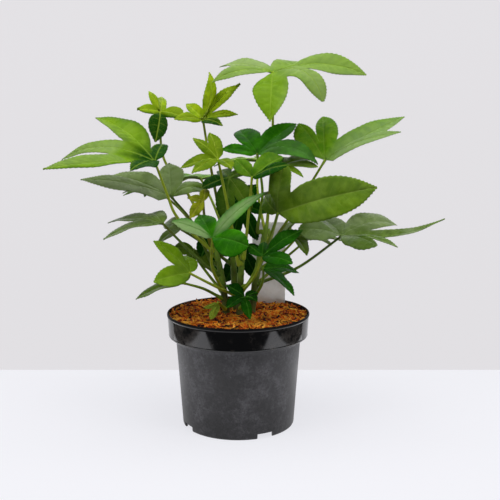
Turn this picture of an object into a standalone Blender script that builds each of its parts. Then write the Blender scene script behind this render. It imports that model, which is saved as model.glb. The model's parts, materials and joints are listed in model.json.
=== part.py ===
"""Japanese aralia (Fatsia japonica) in a round nursery pot.

Metres, +Z up. The origin is the centre of the pot's underside, +X is to the right in the
plant's front view and -Y points to the viewer. The plant grows as five canes with
long-stalked palmate leaves. Each leaf, blade and stalk together, is one piece.
"""
import math

import bmesh
import bpy
import numpy as np
from mathutils import Matrix, Vector

MM = 0.001
CLEARANCE = 0.3 * MM

# Pot, a 19 cm nursery pot of 3 litres
POT_HEIGHT = 152 * MM
RIM_RADIUS = 95 * MM
COLLAR_FOOT_RADIUS = 93 * MM
COLLAR_HEIGHT = 31 * MM
NECK_RADIUS = 83.5 * MM
BASE_RADIUS = 75 * MM
POT_WALL = 1.8 * MM
BEAD = 3.0 * MM
CHANNEL_HEIGHT = 8 * MM
CHANNEL_INNER = 52 * MM
FOOT_WIDTH = 3.5 * MM
POT_SIDES = 36
NOTCH_COUNT = 4
NOTCH_ANGLE = 28.5
NOTCH_WIDTH = 23 * MM
NOTCH_HEIGHT = 7 * MM
DRAIN_COUNT = 8
DRAIN_RADIUS = 5 * MM

# Potting soil
SOIL_LEVEL = 147 * MM
SOIL_RELIEF = 1.6 * MM
SOIL_RINGS = 4
HOLE_DEPTH = 36 * MM

# Label stuck in behind the canes
LABEL_WIDTH = 46 * MM
LABEL_THICKNESS = 1.0 * MM
LABEL_TOP = 264 * MM
LABEL_SHOULDER = 138 * MM
LABEL_TONGUE = 20 * MM
LABEL_FOOT = 118 * MM
LABEL_PLACE = (42 * MM, 62 * MM)

# Canes
CANE_RADIUS = 4.8 * MM
CANE_TOP_RADIUS = 3.4 * MM
CANE_SIDES = 8
CANE_STEPS = 3
BUD_LENGTH = 9 * MM

# Leaf stalks and blades
STALK_RADIUS = 2.3 * MM
STALK_TIP_RADIUS = 1.5 * MM
STALK_RISE = 32
STALK_STEPS = 2
BLADE = 0.8 * MM
WEB_ROWS = 1
FREE_ROWS = 5
TOOTH = 1.1 * MM

# A lobe's outline, as shares of its length: the cut between two lobes, and for a margin beside
# a cut and for an outer one, where it is widest and how full it is where it starts
LOBE_WIDTH = 0.2
CUT = 0.42
INNER_PEAK, INNER_FULL = 0.22, 0.88
OUTER_PEAK, OUTER_FULL = 0.42, 0.72
OUTER_START = 0.2
OUTER_ANGLE = math.radians(50)
STALK_ROOM = math.radians(8)
CROWDING = 0.47
WIDE_ANGLE = 1.2

# How blunt a lobe is, from 0 to 1, and the powers of its run to the tip at those two ends
BLUNT = 0.25
SHOULDER_POWERS = (1.9, 3.5)
TIP_POWERS = (1.35, 0.8)

# How a lobe bows, folds along its midrib, rolls and waves
ARCH = 0.08
FOLD = 0.12
ROLL_RATE = 1.3
WAVE = 0.02
WAVES = 1.25
WAVE_SHIFT = 1.7
SIDE_SHIFT = 2.1

# Each cane as the points of its axis in mm, from where it leaves the soil to its bud
CANES = {
    "cane_front": [(2, -14, 152), (3, -15, 190), (6, -18, 236)],
    "cane_right": [(18, 0, 152), (24, 0, 200), (36, -2, 262)],
    "cane_left": [(-16, -2, 152), (-22, -2, 200), (-34, 2, 252)],
    "cane_back": [(-4, 16, 152), (-6, 20, 200), (-10, 28, 262)],
    "cane_back_right": [(18, 22, 152), (26, 28, 200), (40, 40, 250)],
}


def lobe(x, y, z, **shape):
    """One lobe of a leaf: its tip, in mm from the top of the stalk, and how it is shaped."""
    return dict(tip=(x, y, z), **shape)


def fan(heading, length, count, droop, step=46):
    """The lobes of an evenly spread leaf that points to a compass angle from +X."""
    lobes = []
    for k in range(count):
        turn = k - (count - 1) / 2
        angle = math.radians(heading + step * turn)
        reach = length * (1 - 0.1 * abs(turn))
        lobes.append(lobe(reach * math.cos(angle), reach * math.sin(angle), -droop * reach))
    return lobes


# Each leaf: the cane and the height it leaves it at, the way of its stalk up to the blade
# and its lobes from one side of the stalk round to the other, all in mm.
LEAVES = {
    "leaf_01": dict(cane="cane_right", height=254, way=[(43, 26, 325), (46, 36, 385)],
                    joint=(45, 10, 466), width=0.2, cut=0.4, lobes=[
        lobe(-5, -70, -62, width=0.26, peak=0.28),
        lobe(62, -44, -38, width=0.2, arch=0.22, bend=0.1, blunt=1),
        lobe(120, -6, -4, width=0.18, arch=0.11, roll=24, blunt=0.5),
        lobe(52, 60, 16, width=0.25, arch=0.02, cut=0.2),
        lobe(-70, 42, 9, width=0.2, arch=0.08, blunt=0.5),
        lobe(-78, -8, -13, width=0.16, arch=0.12, roll=-15)]),
    "leaf_02": dict(cane="cane_left", height=236, way=[(-77, -22, 280), (-90, -28, 312)],
                    joint=(-104, -35, 354), width=0.18, lobes=[
        lobe(6, 48, 20, width=0.2),
        lobe(-84, 60, 54, width=0.23, bend=-0.02, blunt=0.4),
        lobe(-126, 40, 0, width=0.095, arch=0.14, roll=-12, blunt=0.5),
        lobe(-132, -38, -7, width=0.11, arch=0.03, roll=-8),
        lobe(-24, -50, -8, width=0.36)]),
    "leaf_03": dict(cane="cane_left", height=248, way=[(-66, 46, 300), (-104, 74, 352)],
                    joint=(-105, 50, 416), width=0.3, lobes=[
        lobe(-2, 40, 20, width=0.14),
        lobe(-16, 8, 27, width=0.22),
        lobe(-29, -12, 3, width=0.3),
        lobe(-4, -32, -40, width=0.46, blunt=0.4),
        lobe(34, -16, -9, width=0.36)]),
    "leaf_04": dict(cane="cane_back", height=254, way=[(-36, 24, 340)],
                    joint=(-46, 15, 406), width=0.16, cut=0.3, lobes=[
        lobe(27, -32, -8),
        lobe(46, -6, 6),
        lobe(48, 20, 46),
        lobe(8, 12, 60, width=0.15, bend=-0.14),
        lobe(-24, 34, 20),
        lobe(-36, -16, 0, width=0.24)]),
    "leaf_05": dict(cane="cane_front", height=222, way=[(-11, -42, 290)],
                    joint=(-24, -46, 357), width=0.24, lobes=[
        lobe(-12, 34, 32, width=0.2),
        lobe(-32, 12, 26),
        lobe(-46, -12, -10),
        lobe(-30, -42, -14),
        lobe(18, -34, -10)]),
    "leaf_06": dict(cane="cane_right", height=260, way=[(32, -2, 310)],
                    joint=(25, -5, 362), width=0.28, lobes=[
        lobe(78, -12, -12, width=0.2, arch=0.25),
        lobe(52, 30, 38, width=0.24),
        lobe(-24, 52, 29, width=0.36, blunt=0.9),
        lobe(-47, 8, 5, width=0.2)]),
    "leaf_07": dict(cane="cane_right", height=238, way=[(74, -8, 290)],
                    joint=(112, -10, 354), width=0.22, lobes=[
        lobe(92, -28, 37, width=0.1, arch=0.08),
        lobe(108, 38, 55, width=0.15, arch=0.03),
        lobe(2, 62, 55, width=0.32, blunt=0.7),
        lobe(-32, 36, 46, width=0.32, blunt=0.5)]),
    "leaf_08": dict(cane="cane_front", height=190, way=[(24, -26, 215), (41, -30, 256)],
                    joint=(50, -60, 291), width=0.24, lobes=[
        lobe(120, -18, 34, width=0.215, cut=0.5, bend=0.005, blunt=0.4),
        lobe(8, 10, 61, width=0.34, blunt=1),
        lobe(-16, 38, 18)]),
    "leaf_09": dict(cane="cane_right", height=190, way=[(80, -14, 215)],
                    joint=(134, -20, 257), width=0.2, lobes=[
        lobe(39, -50, -5, width=0.36, roll=35, blunt=0.8),
        lobe(66, -42, -8, cut=0.3, blunt=0.5),
        lobe(131, -8, 23, width=0.075, arch=-0.08),
        lobe(80, 50, 8, width=0.24, arch=0.12, roll=20, blunt=0.5),
        lobe(-24, 60, 15),
        lobe(-56, 0, 8, width=0.4, roll=-40, blunt=0.8)]),
    "leaf_10": dict(cane="cane_left", height=218, way=[(-60, 6, 270)],
                    joint=(-88, 14, 304), width=0.2, lobes=[
        lobe(50, 2, 4, width=0.3, arch=0.3),
        lobe(-8, 50, 42, width=0.3),
        lobe(-90, 46, 24),
        lobe(-119, -4, 23, width=0.15)]),
    "leaf_11": dict(cane="cane_left", height=204, way=[(-66, -18, 240)],
                    joint=(-96, -30, 275), width=0.22, lobes=[
        lobe(-22, 52, 6),
        lobe(-76, 34, -4),
        lobe(-72, -26, -17, width=0.2)]),
    "leaf_12": dict(cane="cane_back", height=214, way=[(-50, 34, 240)],
                    joint=(-78, 40, 257), width=0.24, lobes=[
        lobe(-26, 40, 4),
        lobe(-34, -6, -22)]),
    "leaf_13": dict(cane="cane_front", height=176, way=[(-34, -44, 198)],
                    joint=(-60, -60, 216), width=0.28, lobes=[
        lobe(-7, 40, 15),
        lobe(-46, 12, 38, width=0.36, blunt=0.5),
        lobe(-42, -30, -6, width=0.34, blunt=0.4)]),
    "leaf_14": dict(cane="cane_left", height=172, way=[(-46, -14, 186)],
                    joint=(-70, -25, 196), width=0.22, lobes=[
        lobe(-2, 40, 2),
        lobe(-40, 36, 0),
        lobe(-62, -10, -20, width=0.27)]),
    "leaf_15": dict(cane="cane_left", height=186, way=[(-33, -44, 222)],
                    joint=(-30, -92, 265), width=0.26, lobes=[
        lobe(44, -28, -6, width=0.42, roll=35, blunt=0.9),
        lobe(64, 25, 53, width=0.13),
        lobe(-17, 45, 22),
        lobe(-48, -5, 21)]),
    "leaf_16": dict(cane="cane_front", height=230, way=[(14, -46, 290)],
                    joint=(18, -62, 336), width=0.3, lobes=[
        lobe(45, -22, 17, width=0.2),
        lobe(39, 16, 24, width=0.36, blunt=0.9),
        lobe(-20, 9, 21, width=0.4, blunt=0.6)]),
    "leaf_17": dict(cane="cane_back_right", height=244, way=[(60, 8, 316)],
                    joint=(57, -25, 348), width=0.3, lobes=[
        lobe(26, -12, -14, width=0.26),
        lobe(46, 8, -2, width=0.3, roll=25, blunt=0.5),
        lobe(40, 40, 4),
        lobe(-6, 42, 8)]),
    "leaf_18": dict(cane="cane_back", height=256, way=[(-12, 0, 300)],
                    joint=(-11, -10, 331), width=0.28, lobes=[
        lobe(21, 20, 6),
        lobe(-12, 32, 8),
        lobe(-34, -8, -12, width=0.46, blunt=1),
        lobe(-4, -24, -60, width=0.3),
        lobe(28, -16, -42)]),
    "leaf_19": dict(cane="cane_left", height=244, way=[(-43, -18, 280)],
                    joint=(-44, -28, 303), width=0.26, lobes=[
        lobe(2, 20, 14),
        lobe(-20, 2, 4),
        lobe(-16, -18, -20)]),
    "leaf_20": dict(cane="cane_front", height=184, way=[(22, -50, 210)],
                    joint=(31, -75, 239), width=0.26, lobes=[
        lobe(36, -26, -3, width=0.3, blunt=0.5),
        lobe(50, 10, 32, width=0.36),
        lobe(2, 24, 15, width=0.36),
        lobe(-16, 4, 13, width=0.46, blunt=0.6)]),
    "leaf_21": dict(cane="cane_right", height=176, way=[(32, -30, 198)],
                    joint=(33, -50, 220), width=0.18, lobes=[
        lobe(37, -35, -28),
        lobe(46, 25, -11)]),
    "leaf_22": dict(cane="cane_front", height=162, way=[],
                    joint=(9, -40, 180), width=0.36, lobes=[
        lobe(-24, 8, 14, width=0.4),
        lobe(-22, -22, -9, width=0.42, blunt=0.6),
        lobe(7, -34, -20, blunt=0.5),
        lobe(16, -20, -1),
        lobe(17, 15, 3)]),
    "leaf_23": dict(cane="cane_left", height=158, way=[],
                    joint=(-26, -30, 170), width=0.3, lobes=[
        lobe(-9, -26, -15, width=0.15),
        lobe(-18, -14, -3, width=0.14)]),
    "leaf_24": dict(cane="cane_back_right", height=206, way=[(62, 44, 226)],
                    joint=(79, 45, 244), width=0.26, lobes=[
        lobe(13, -30, -19),
        lobe(21, 30, 4)]),
    "leaf_25": dict(cane="cane_back_right", height=232, way=[(62, 50, 250)],
                    joint=(79, 50, 268), width=0.26, lobes=[
        lobe(-18, -30, -12),
        lobe(46, -5, 20),
        lobe(12, 36, 8)]),
    "leaf_26": dict(cane="cane_back", height=238, way=[(-36, 70, 290)],
                    joint=(-54, 98, 322), width=0.2, lobes=fan(112, 84, 5, 0.12)),
    "leaf_27": dict(cane="cane_back_right", height=248, way=[(26, 84, 310)],
                    joint=(30, 110, 345), width=0.2, lobes=fan(80, 84, 5, 0.1)),
    "leaf_28": dict(cane="cane_back_right", height=218, way=[(70, 58, 246)],
                    joint=(70, 102, 300), width=0.2, lobes=fan(50, 72, 5, 0.2)),
    "leaf_29": dict(cane="cane_back", height=222, way=[(-4, 62, 262)],
                    joint=(4, 58, 290), width=0.3, lobes=[
        lobe(-16, 8, 26),
        lobe(-28, -4, -16),
        lobe(-14, -2, -54, blunt=0.6),
        lobe(22, -4, -50, blunt=0.6),
        lobe(34, -2, -12),
        lobe(20, 8, 26)]),
    "leaf_30": dict(cane="cane_back", height=182, way=[(2, 58, 208)],
                    joint=(4, 50, 230), width=0.3, lobes=[
        lobe(-36, 12, -8),
        lobe(-22, -2, -48, blunt=0.6),
        lobe(24, 0, -44, blunt=0.6),
        lobe(28, 2, -4)]),
    "leaf_31": dict(cane="cane_back_right", height=186, way=[(62, 56, 212)],
                    joint=(98, 72, 240), width=0.2, lobes=fan(40, 58, 5, 0.1)),
    "leaf_32": dict(cane="cane_left", height=228, way=[(-74, 44, 278)],
                    joint=(-112, 70, 308), width=0.2, lobes=fan(160, 56, 5, 0.1)),
    "leaf_33": dict(cane="cane_left", height=190, way=[(-40, 42, 226)],
                    joint=(-36, 30, 256), width=0.32, lobes=[
        lobe(-14, -8, -34, blunt=0.6),
        lobe(10, -12, -54, blunt=0.6),
        lobe(16, -6, -18)]),
    "leaf_34": dict(cane="cane_left", height=180, way=[(-54, 38, 212)],
                    joint=(-60, 28, 231), width=0.3, lobes=[
        lobe(-28, 6, 2),
        lobe(-6, -8, -30, blunt=0.5),
        lobe(22, -6, -26)]),
}

# Linear colours
POT_BLACK = (0.030, 0.031, 0.033)
SOIL_BROWN = (0.30, 0.115, 0.035)
LABEL_GREY = (0.62, 0.62, 0.58)
CANE_GREEN = (0.16, 0.17, 0.05)
LEAF_DARK = (0.035, 0.105, 0.022)
LEAF_YOUNG = (0.17, 0.34, 0.02)
YOUNG_LEAVES = ("leaf_01", "leaf_03", "leaf_04", "leaf_05", "leaf_16", "leaf_23")


def clear_scene():
    for obj in list(bpy.data.objects):
        bpy.data.objects.remove(obj, do_unlink=True)


def new_collection(name):
    collection = bpy.data.collections.new(name)
    bpy.context.scene.collection.children.link(collection)
    return collection


def principled(name, colour, roughness):
    material = bpy.data.materials.new(name)
    material.use_nodes = True
    shader = material.node_tree.nodes["Principled BSDF"]
    shader.inputs["Base Color"].default_value = (*colour, 1)
    shader.inputs["Roughness"].default_value = roughness
    shader.inputs["Metallic"].default_value = 0.0
    return material


def add_object(name, mesh, collection, material=None):
    obj = bpy.data.objects.new(name, mesh)
    if material:
        obj.data.materials.append(material)
    collection.objects.link(obj)
    return obj


def evaluated_mesh(obj):
    """The object's mesh with its modifiers applied, its doubles welded."""
    bpy.context.view_layer.update()
    mesh = bpy.data.meshes.new_from_object(obj.evaluated_get(bpy.context.evaluated_depsgraph_get()))
    bm = bmesh.new()
    bm.from_mesh(mesh)
    bmesh.ops.remove_doubles(bm, verts=bm.verts, dist=0.00002)
    bmesh.ops.triangulate(bm, faces=bm.faces, ngon_method="EAR_CLIP")
    bm.to_mesh(mesh)
    bm.free()
    return mesh


def apply_modifiers(obj):
    mesh = evaluated_mesh(obj)
    obj.modifiers.clear()
    obj.data = mesh


def turned(name, profile, collection, material, sides=POT_SIDES):
    """A solid of revolution from (radius, height) points, down the outer side first."""
    mesh = bpy.data.meshes.new(name)
    mesh.from_pydata([(r, 0, z) for r, z in profile], [(k, k + 1) for k in range(len(profile) - 1)], [])
    obj = add_object(name, mesh, collection, material)
    screw = obj.modifiers.new("turn", "SCREW")
    screw.axis = "Z"
    screw.steps = sides
    screw.render_steps = sides
    screw.use_merge_vertices = True
    screw.merge_threshold = 0.00001
    return obj


def cut(obj, cutter):
    boolean = obj.modifiers.new("cut " + cutter.name, "BOOLEAN")
    boolean.operation = "DIFFERENCE"
    boolean.solver = "EXACT"
    boolean.object = cutter
    cutter.hide_render = True
    cutter.display_type = "WIRE"


def box_cutter(name, size, matrix, collection):
    mesh = bpy.data.meshes.new(name)
    bm = bmesh.new()
    bmesh.ops.create_cube(bm, size=1, matrix=matrix @ Matrix.Diagonal((*size, 1)))
    bm.to_mesh(mesh)
    bm.free()
    return add_object(name, mesh, collection)


def round_cutter(name, radius, low, high, place, collection, sides=12):
    mesh = bpy.data.meshes.new(name)
    bm = bmesh.new()
    centre = Matrix.Translation((place[0], place[1], (low + high) / 2))
    bmesh.ops.create_cone(bm, cap_ends=True, segments=sides, radius1=radius, radius2=radius,
                          depth=high - low, matrix=centre)
    bm.to_mesh(mesh)
    bm.free()
    return add_object(name, mesh, collection)


def body_radius(z):
    """Outer radius of the pot's tapered body."""
    return BASE_RADIUS + (NECK_RADIUS - BASE_RADIUS) * z / (POT_HEIGHT - COLLAR_HEIGHT)


def make_pot(collection, cutters):
    collar_foot = POT_HEIGHT - COLLAR_HEIGHT
    edge = 2.5 * MM
    channel_outer = BASE_RADIUS - FOOT_WIDTH
    inner_floor = CHANNEL_HEIGHT + POT_WALL
    profile = [
        (0, POT_WALL),
        (CHANNEL_INNER - 3 * MM, POT_WALL),
        (CHANNEL_INNER, inner_floor),
        (body_radius(inner_floor) - POT_WALL, inner_floor),
        (NECK_RADIUS - POT_WALL, collar_foot - edge),
        (COLLAR_FOOT_RADIUS - POT_WALL, collar_foot + 2 * edge),
        (RIM_RADIUS - POT_WALL, POT_HEIGHT),
        (RIM_RADIUS - 0.5 * MM, POT_HEIGHT),
        (RIM_RADIUS, POT_HEIGHT - BEAD / 2),
        (COLLAR_FOOT_RADIUS, collar_foot + edge / 2),
        (COLLAR_FOOT_RADIUS - edge / 2, collar_foot),
        (NECK_RADIUS + edge / 2, collar_foot - edge / 2),
        (NECK_RADIUS, collar_foot - 2 * edge),
        (body_radius(2 * edge), 2 * edge),
        (BASE_RADIUS - edge / 2, edge / 4),
        (BASE_RADIUS - edge, 0),
        (channel_outer, 0),
        (channel_outer, CHANNEL_HEIGHT),
        (CHANNEL_INNER + POT_WALL, CHANNEL_HEIGHT),
        (CHANNEL_INNER - POT_WALL, 0),
        (0, 0),
    ]
    pot = turned("pot", profile, collection, principled("pot plastic", POT_BLACK, 0.35))
    for k in range(NOTCH_COUNT):
        angle = math.radians(NOTCH_ANGLE - 90 + 360 / NOTCH_COUNT * k)
        turn = Matrix.Rotation(angle, 4, "Z")
        place = turn @ Matrix.Translation((BASE_RADIUS - FOOT_WIDTH / 2, 0, 0))
        cut(pot, box_cutter(f"notch_{k + 1}", (8 * MM, NOTCH_WIDTH, 2 * NOTCH_HEIGHT), place, cutters))
    drain_ring = (CHANNEL_INNER + channel_outer) / 2 + POT_WALL / 2
    for k in range(DRAIN_COUNT):
        angle = math.radians(NOTCH_ANGLE - 90 + 360 / DRAIN_COUNT * k)
        place = (drain_ring * math.cos(angle), drain_ring * math.sin(angle))
        cut(pot, round_cutter(f"drain_{k + 1}", DRAIN_RADIUS, CHANNEL_HEIGHT - 2 * MM,
                              inner_floor + 2 * MM, place, cutters))
    apply_modifiers(pot)
    pot.data.shade_smooth()
    pot.data.set_sharp_from_angle(angle=math.radians(35))
    return pot


def soil_relief(x, y):
    """Uneven height of the soil's surface, as bark and coir leave it."""
    return SOIL_RELIEF * (0.6 * math.sin(x / (11 * MM) + 0.7) * math.cos(y / (9 * MM))
                          + 0.4 * math.sin((x + 2 * y) / (7 * MM)))


def make_soil(collection, cutters):
    gap = CLEARANCE
    collar_foot = POT_HEIGHT - COLLAR_HEIGHT
    edge = 2.5 * MM
    bottom = CHANNEL_HEIGHT + POT_WALL + gap
    slope = (RIM_RADIUS - COLLAR_FOOT_RADIUS) / (COLLAR_HEIGHT - 2 * edge)
    brim = SOIL_LEVEL - 1.5 * MM
    brim_radius = COLLAR_FOOT_RADIUS - POT_WALL + slope * (brim - collar_foot - 2 * edge) - 2 * gap
    profile = [(brim_radius * k / SOIL_RINGS, SOIL_LEVEL) for k in range(SOIL_RINGS)]
    profile += [
        (brim_radius, brim),
        (COLLAR_FOOT_RADIUS - POT_WALL - 2 * gap, collar_foot + 2 * edge + gap),
        (NECK_RADIUS - POT_WALL - 2 * gap, collar_foot - edge + gap),
        (body_radius(bottom) - POT_WALL - 2 * gap, bottom),
        (0, bottom),
    ]
    soil = turned("potting_soil", profile, collection, principled("potting soil", SOIL_BROWN, 0.95), 32)
    apply_modifiers(soil)
    for vertex in soil.data.vertices:
        if vertex.co.z > SOIL_LEVEL - 0.1 * MM:
            vertex.co.z += soil_relief(vertex.co.x, vertex.co.y)
    for name, points in CANES.items():
        radius = (CANE_RADIUS + gap) / math.cos(math.pi / 12)
        place = (points[0][0] * MM, points[0][1] * MM)
        cut(soil, round_cutter("hole_" + name, radius, SOIL_LEVEL - HOLE_DEPTH,
                               SOIL_LEVEL + 10 * MM, place, cutters))
    slot_low, slot_high = LABEL_FOOT - gap, SOIL_LEVEL + 10 * MM
    slot = Matrix.Translation((*LABEL_PLACE, (slot_low + slot_high) / 2))
    size = (LABEL_WIDTH + 2 * gap, LABEL_THICKNESS + 2 * gap, slot_high - slot_low)
    cut(soil, box_cutter("label_slot", size, slot, cutters))
    apply_modifiers(soil)
    return soil


def make_label(collection):
    """A blank plastic label with a tongue that stands in the soil."""
    half = LABEL_WIDTH / 2
    tongue = LABEL_TONGUE / 2
    corner = 4 * MM
    outline = [
        (-half + corner, LABEL_TOP), (-half, LABEL_TOP - corner),
        (-half, LABEL_SHOULDER), (-tongue, LABEL_SHOULDER - half + tongue),
        (-tongue, LABEL_FOOT + tongue), (0, LABEL_FOOT), (tongue, LABEL_FOOT + tongue),
        (tongue, LABEL_SHOULDER - half + tongue), (half, LABEL_SHOULDER),
        (half, LABEL_TOP - corner), (half - corner, LABEL_TOP),
    ]
    curve = bpy.data.curves.new("label outline", "CURVE")
    curve.dimensions = "2D"
    curve.fill_mode = "BOTH"
    curve.extrude = LABEL_THICKNESS / 2
    spline = curve.splines.new("POLY")
    spline.points.add(len(outline) - 1)
    for point, (x, z) in zip(spline.points, outline):
        point.co = (x, z, 0, 1)
    spline.use_cyclic_u = True
    guide = add_object("label_outline", curve, collection)
    mesh = evaluated_mesh(guide)
    bpy.data.objects.remove(guide)
    place = Matrix.Translation((*LABEL_PLACE, 0)) @ Matrix.Rotation(math.pi / 2, 4, "X")
    mesh.transform(place)
    return add_object("plant_label", mesh, collection, principled("label plastic", LABEL_GREY, 0.45))


def smooth_path(points, steps):
    """A curve through the points, as a list with a number of steps to each span."""
    pts = [np.array(p, float) for p in points]
    pts = [2 * pts[0] - pts[1]] + pts + [2 * pts[-1] - pts[-2]]
    path = []
    for a, b, c, d in zip(pts, pts[1:], pts[2:], pts[3:]):
        for k in range(steps):
            t = k / steps
            path.append(0.5 * (2 * b + (c - a) * t + (2 * a - 5 * b + 4 * c - d) * t ** 2
                               + (3 * b - a - 3 * c + d) * t ** 3))
    path.append(pts[-2])
    return path


def tube(name, path, radii, bevel_resolution, collection):
    """A closed round bar along the points of a path, with its own radius at each."""
    curve = bpy.data.curves.new(name, "CURVE")
    curve.dimensions = "3D"
    curve.bevel_depth = 1.0
    curve.bevel_resolution = bevel_resolution
    curve.use_fill_caps = True
    spline = curve.splines.new("POLY")
    spline.points.add(len(path) - 1)
    for point, place, radius in zip(spline.points, path, radii):
        point.co = (*place, 1)
        point.radius = radius
    guide = add_object(name + "_guide", curve, collection)
    mesh = evaluated_mesh(guide)
    bpy.data.objects.remove(guide)
    return mesh


def cane_axis(name):
    return [p * MM for p in smooth_path(CANES[name], CANE_STEPS)]


def cane_at(name, height):
    """Centre and radius of a cane at a height, and how it leans there."""
    axis = cane_axis(name)
    low, high = axis[0][2], axis[-1][2]
    for a, b in zip(axis, axis[1:]):
        if a[2] <= height <= b[2]:
            part = (height - a[2]) / (b[2] - a[2])
            break
    radius = CANE_RADIUS + (CANE_TOP_RADIUS - CANE_RADIUS) * (height - low) / (high - low)
    return a + (b - a) * part, radius, (b - a) / (b[2] - a[2])


def make_cane(name, collection, material):
    axis = cane_axis(name)
    low, high = axis[0][2], axis[-1][2]
    foot = np.array([axis[0][0], axis[0][1], SOIL_LEVEL - HOLE_DEPTH + CLEARANCE])
    collar = np.array([axis[0][0], axis[0][1], axis[0][2] - 3 * MM])
    radii = [CANE_RADIUS + (CANE_TOP_RADIUS - CANE_RADIUS) * (p[2] - low) / (high - low) for p in axis]
    lean = axis[-1] - axis[-2]
    lean /= np.linalg.norm(lean)
    path = [foot, collar] + axis + [axis[-1] + lean * BUD_LENGTH / 2, axis[-1] + lean * BUD_LENGTH]
    radii = [CANE_RADIUS] * 2 + radii + [CANE_TOP_RADIUS * 0.75, CANE_TOP_RADIUS * 0.12]
    mesh = tube(name, path, radii, CANE_SIDES // 2 - 2, collection)
    mesh.shade_smooth()
    return add_object(name, mesh, collection, material)


def unit(vector):
    return vector / np.linalg.norm(vector)


class Blade:
    """The surface of a palmate leaf. Its lobes run from the joint to their tips, and each
    shares the edge from the joint to the bottom of the cut with the lobe beside it."""

    def __init__(self, leaf):
        self.leaf = leaf
        self.lobes = leaf["lobes"]
        self.tips = [np.array(item["tip"]) * MM for item in self.lobes]
        self.lengths = [np.linalg.norm(tip) for tip in self.tips]
        normal = sum(np.cross(unit(a), unit(b)) for a, b in zip(self.tips, self.tips[1:]))
        self.normal = unit(normal)
        middle = self.tips[len(self.tips) // 2]
        self.forward = unit(middle - np.dot(middle, self.normal) * self.normal)
        left = np.cross(self.normal, self.forward)
        self.angles = np.unwrap([math.atan2(np.dot(t, left), np.dot(t, self.forward)) for t in self.tips])
        stalk_gap = 2 * math.pi - (self.angles[-1] - self.angles[0])
        self.outer_half = min(OUTER_ANGLE, stalk_gap / 2 - STALK_ROOM)

    def shape(self, i, key, default):
        return self.lobes[i].get(key, self.leaf.get(key, default))

    def side(self, i, step):
        """Where a lobe's free margin starts, its half width, and where along it that is."""
        length = self.lengths[i]
        width = self.shape(i, "width", LOBE_WIDTH)
        j = i + step
        if 0 <= j < len(self.tips):
            half = abs(self.angles[j] - self.angles[i]) / 2
            reach = self.shape(min(i, j), "cut", CUT) * min(length, self.lengths[j])
            if half < WIDE_ANGLE:
                width = min(width, CROWDING * math.sin(half))
            peak, full = INNER_PEAK, INNER_FULL
        else:
            half = self.outer_half
            reach = OUTER_START * length
            peak, full = self.lobes[i].get("peak", OUTER_PEAK), OUTER_FULL
        return reach * math.cos(half), reach * math.sin(half), width * length, peak, full

    def place(self, i, u, v):
        """The point of lobe i that lies u along its midrib and v to its left."""
        tip, length = self.tips[i], self.lengths[i]
        s = np.asarray(u) / length
        v = np.asarray(v)
        ahead = tip / length
        up = unit(self.normal - np.dot(self.normal, ahead) * ahead)
        left = np.cross(up, ahead)
        bow = length * 4 * (self.shape(i, "arch", ARCH) * up + self.lobes[i].get("bend", 0) * left)
        rib = s[..., None] * tip + (s * (1 - s))[..., None] * bow
        along = tip + (1 - 2 * s)[..., None] * bow
        along /= np.linalg.norm(along, axis=-1, keepdims=True)
        across = np.cross(np.broadcast_to(up, along.shape), along)
        across /= np.linalg.norm(across, axis=-1, keepdims=True)
        out = np.cross(along, across)
        roll = math.radians(self.lobes[i].get("roll", 0)) * np.clip(ROLL_RATE * s, 0, 1)[..., None]
        across, out = across * np.cos(roll) + out * np.sin(roll), out * np.cos(roll) - across * np.sin(roll)
        width = self.leaf["width"] * length
        phase = WAVE_SHIFT * i + np.where(v > 0, 0, SIDE_SHIFT)
        wave = WAVE * length * (np.abs(v) / width) ** 2 * np.sin(2 * math.pi * WAVES * s + phase)
        rise = self.shape(i, "fold", FOLD) * np.abs(v) + wave
        return rib + v[..., None] * across + rise[..., None] * out

    def margin(self, q, width, base, peak, full, blunt):
        """Half width of a lobe along its free margin, from the cut at 0 to the tip at 1."""
        rise = 1 - (1 - full) * ((peak - q) / peak) ** 2
        beyond = np.clip((q - peak) / (1 - peak), 0, 1)
        shoulder, tip = (a + (b - a) * blunt for a, b in (SHOULDER_POWERS, TIP_POWERS))
        fall = (1 - beyond ** shoulder) ** tip
        return width * np.where(q < peak, rise, fall) + (base - width * full) * (1 - q) ** 4

    def grid(self, i, web, free, teeth):
        """Lobe i as rows of points from the joint to the tip: right margin, midrib, left margin."""
        length = self.lengths[i]
        starts = {step: self.side(i, step) for step in (1, -1)}
        rib_start = (starts[1][0] + starts[-1][0]) / 2
        row = np.arange(web + free + 1)
        q = np.clip((row - web) / free, 0, 1)
        w = np.clip(row / web, 0, 1)
        rib = np.where(row <= web, rib_start * w, rib_start + (length - rib_start) * q)
        points = np.zeros((len(row), 3, 3))
        points[:, 1] = self.place(i, rib, np.zeros(len(row)))
        for step in (1, -1):
            start, base, width, peak, full = starts[step]
            along = np.where(row <= web, start * w, start + (length - start) * q)
            blunt = self.lobes[i].get("blunt", BLUNT)
            free_half = self.margin(q, width, base, peak, full, blunt) + teeth * (row % 2) * (q < 1)
            half = np.where(row <= web, base * w, free_half)
            edge = self.place(i, along, step * half)
            j = i + step
            if 0 <= j < len(self.tips):
                next_start, next_base = self.side(j, -step)[:2]
                own = self.place(i, start * w, step * base * w)
                other = self.place(j, next_start * w, -step * next_base * w)
                edge = edge + (other - own) / 2 * ((1 - q) ** 2)[:, None]
            points[:, 1 + step] = edge
        return points


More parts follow.
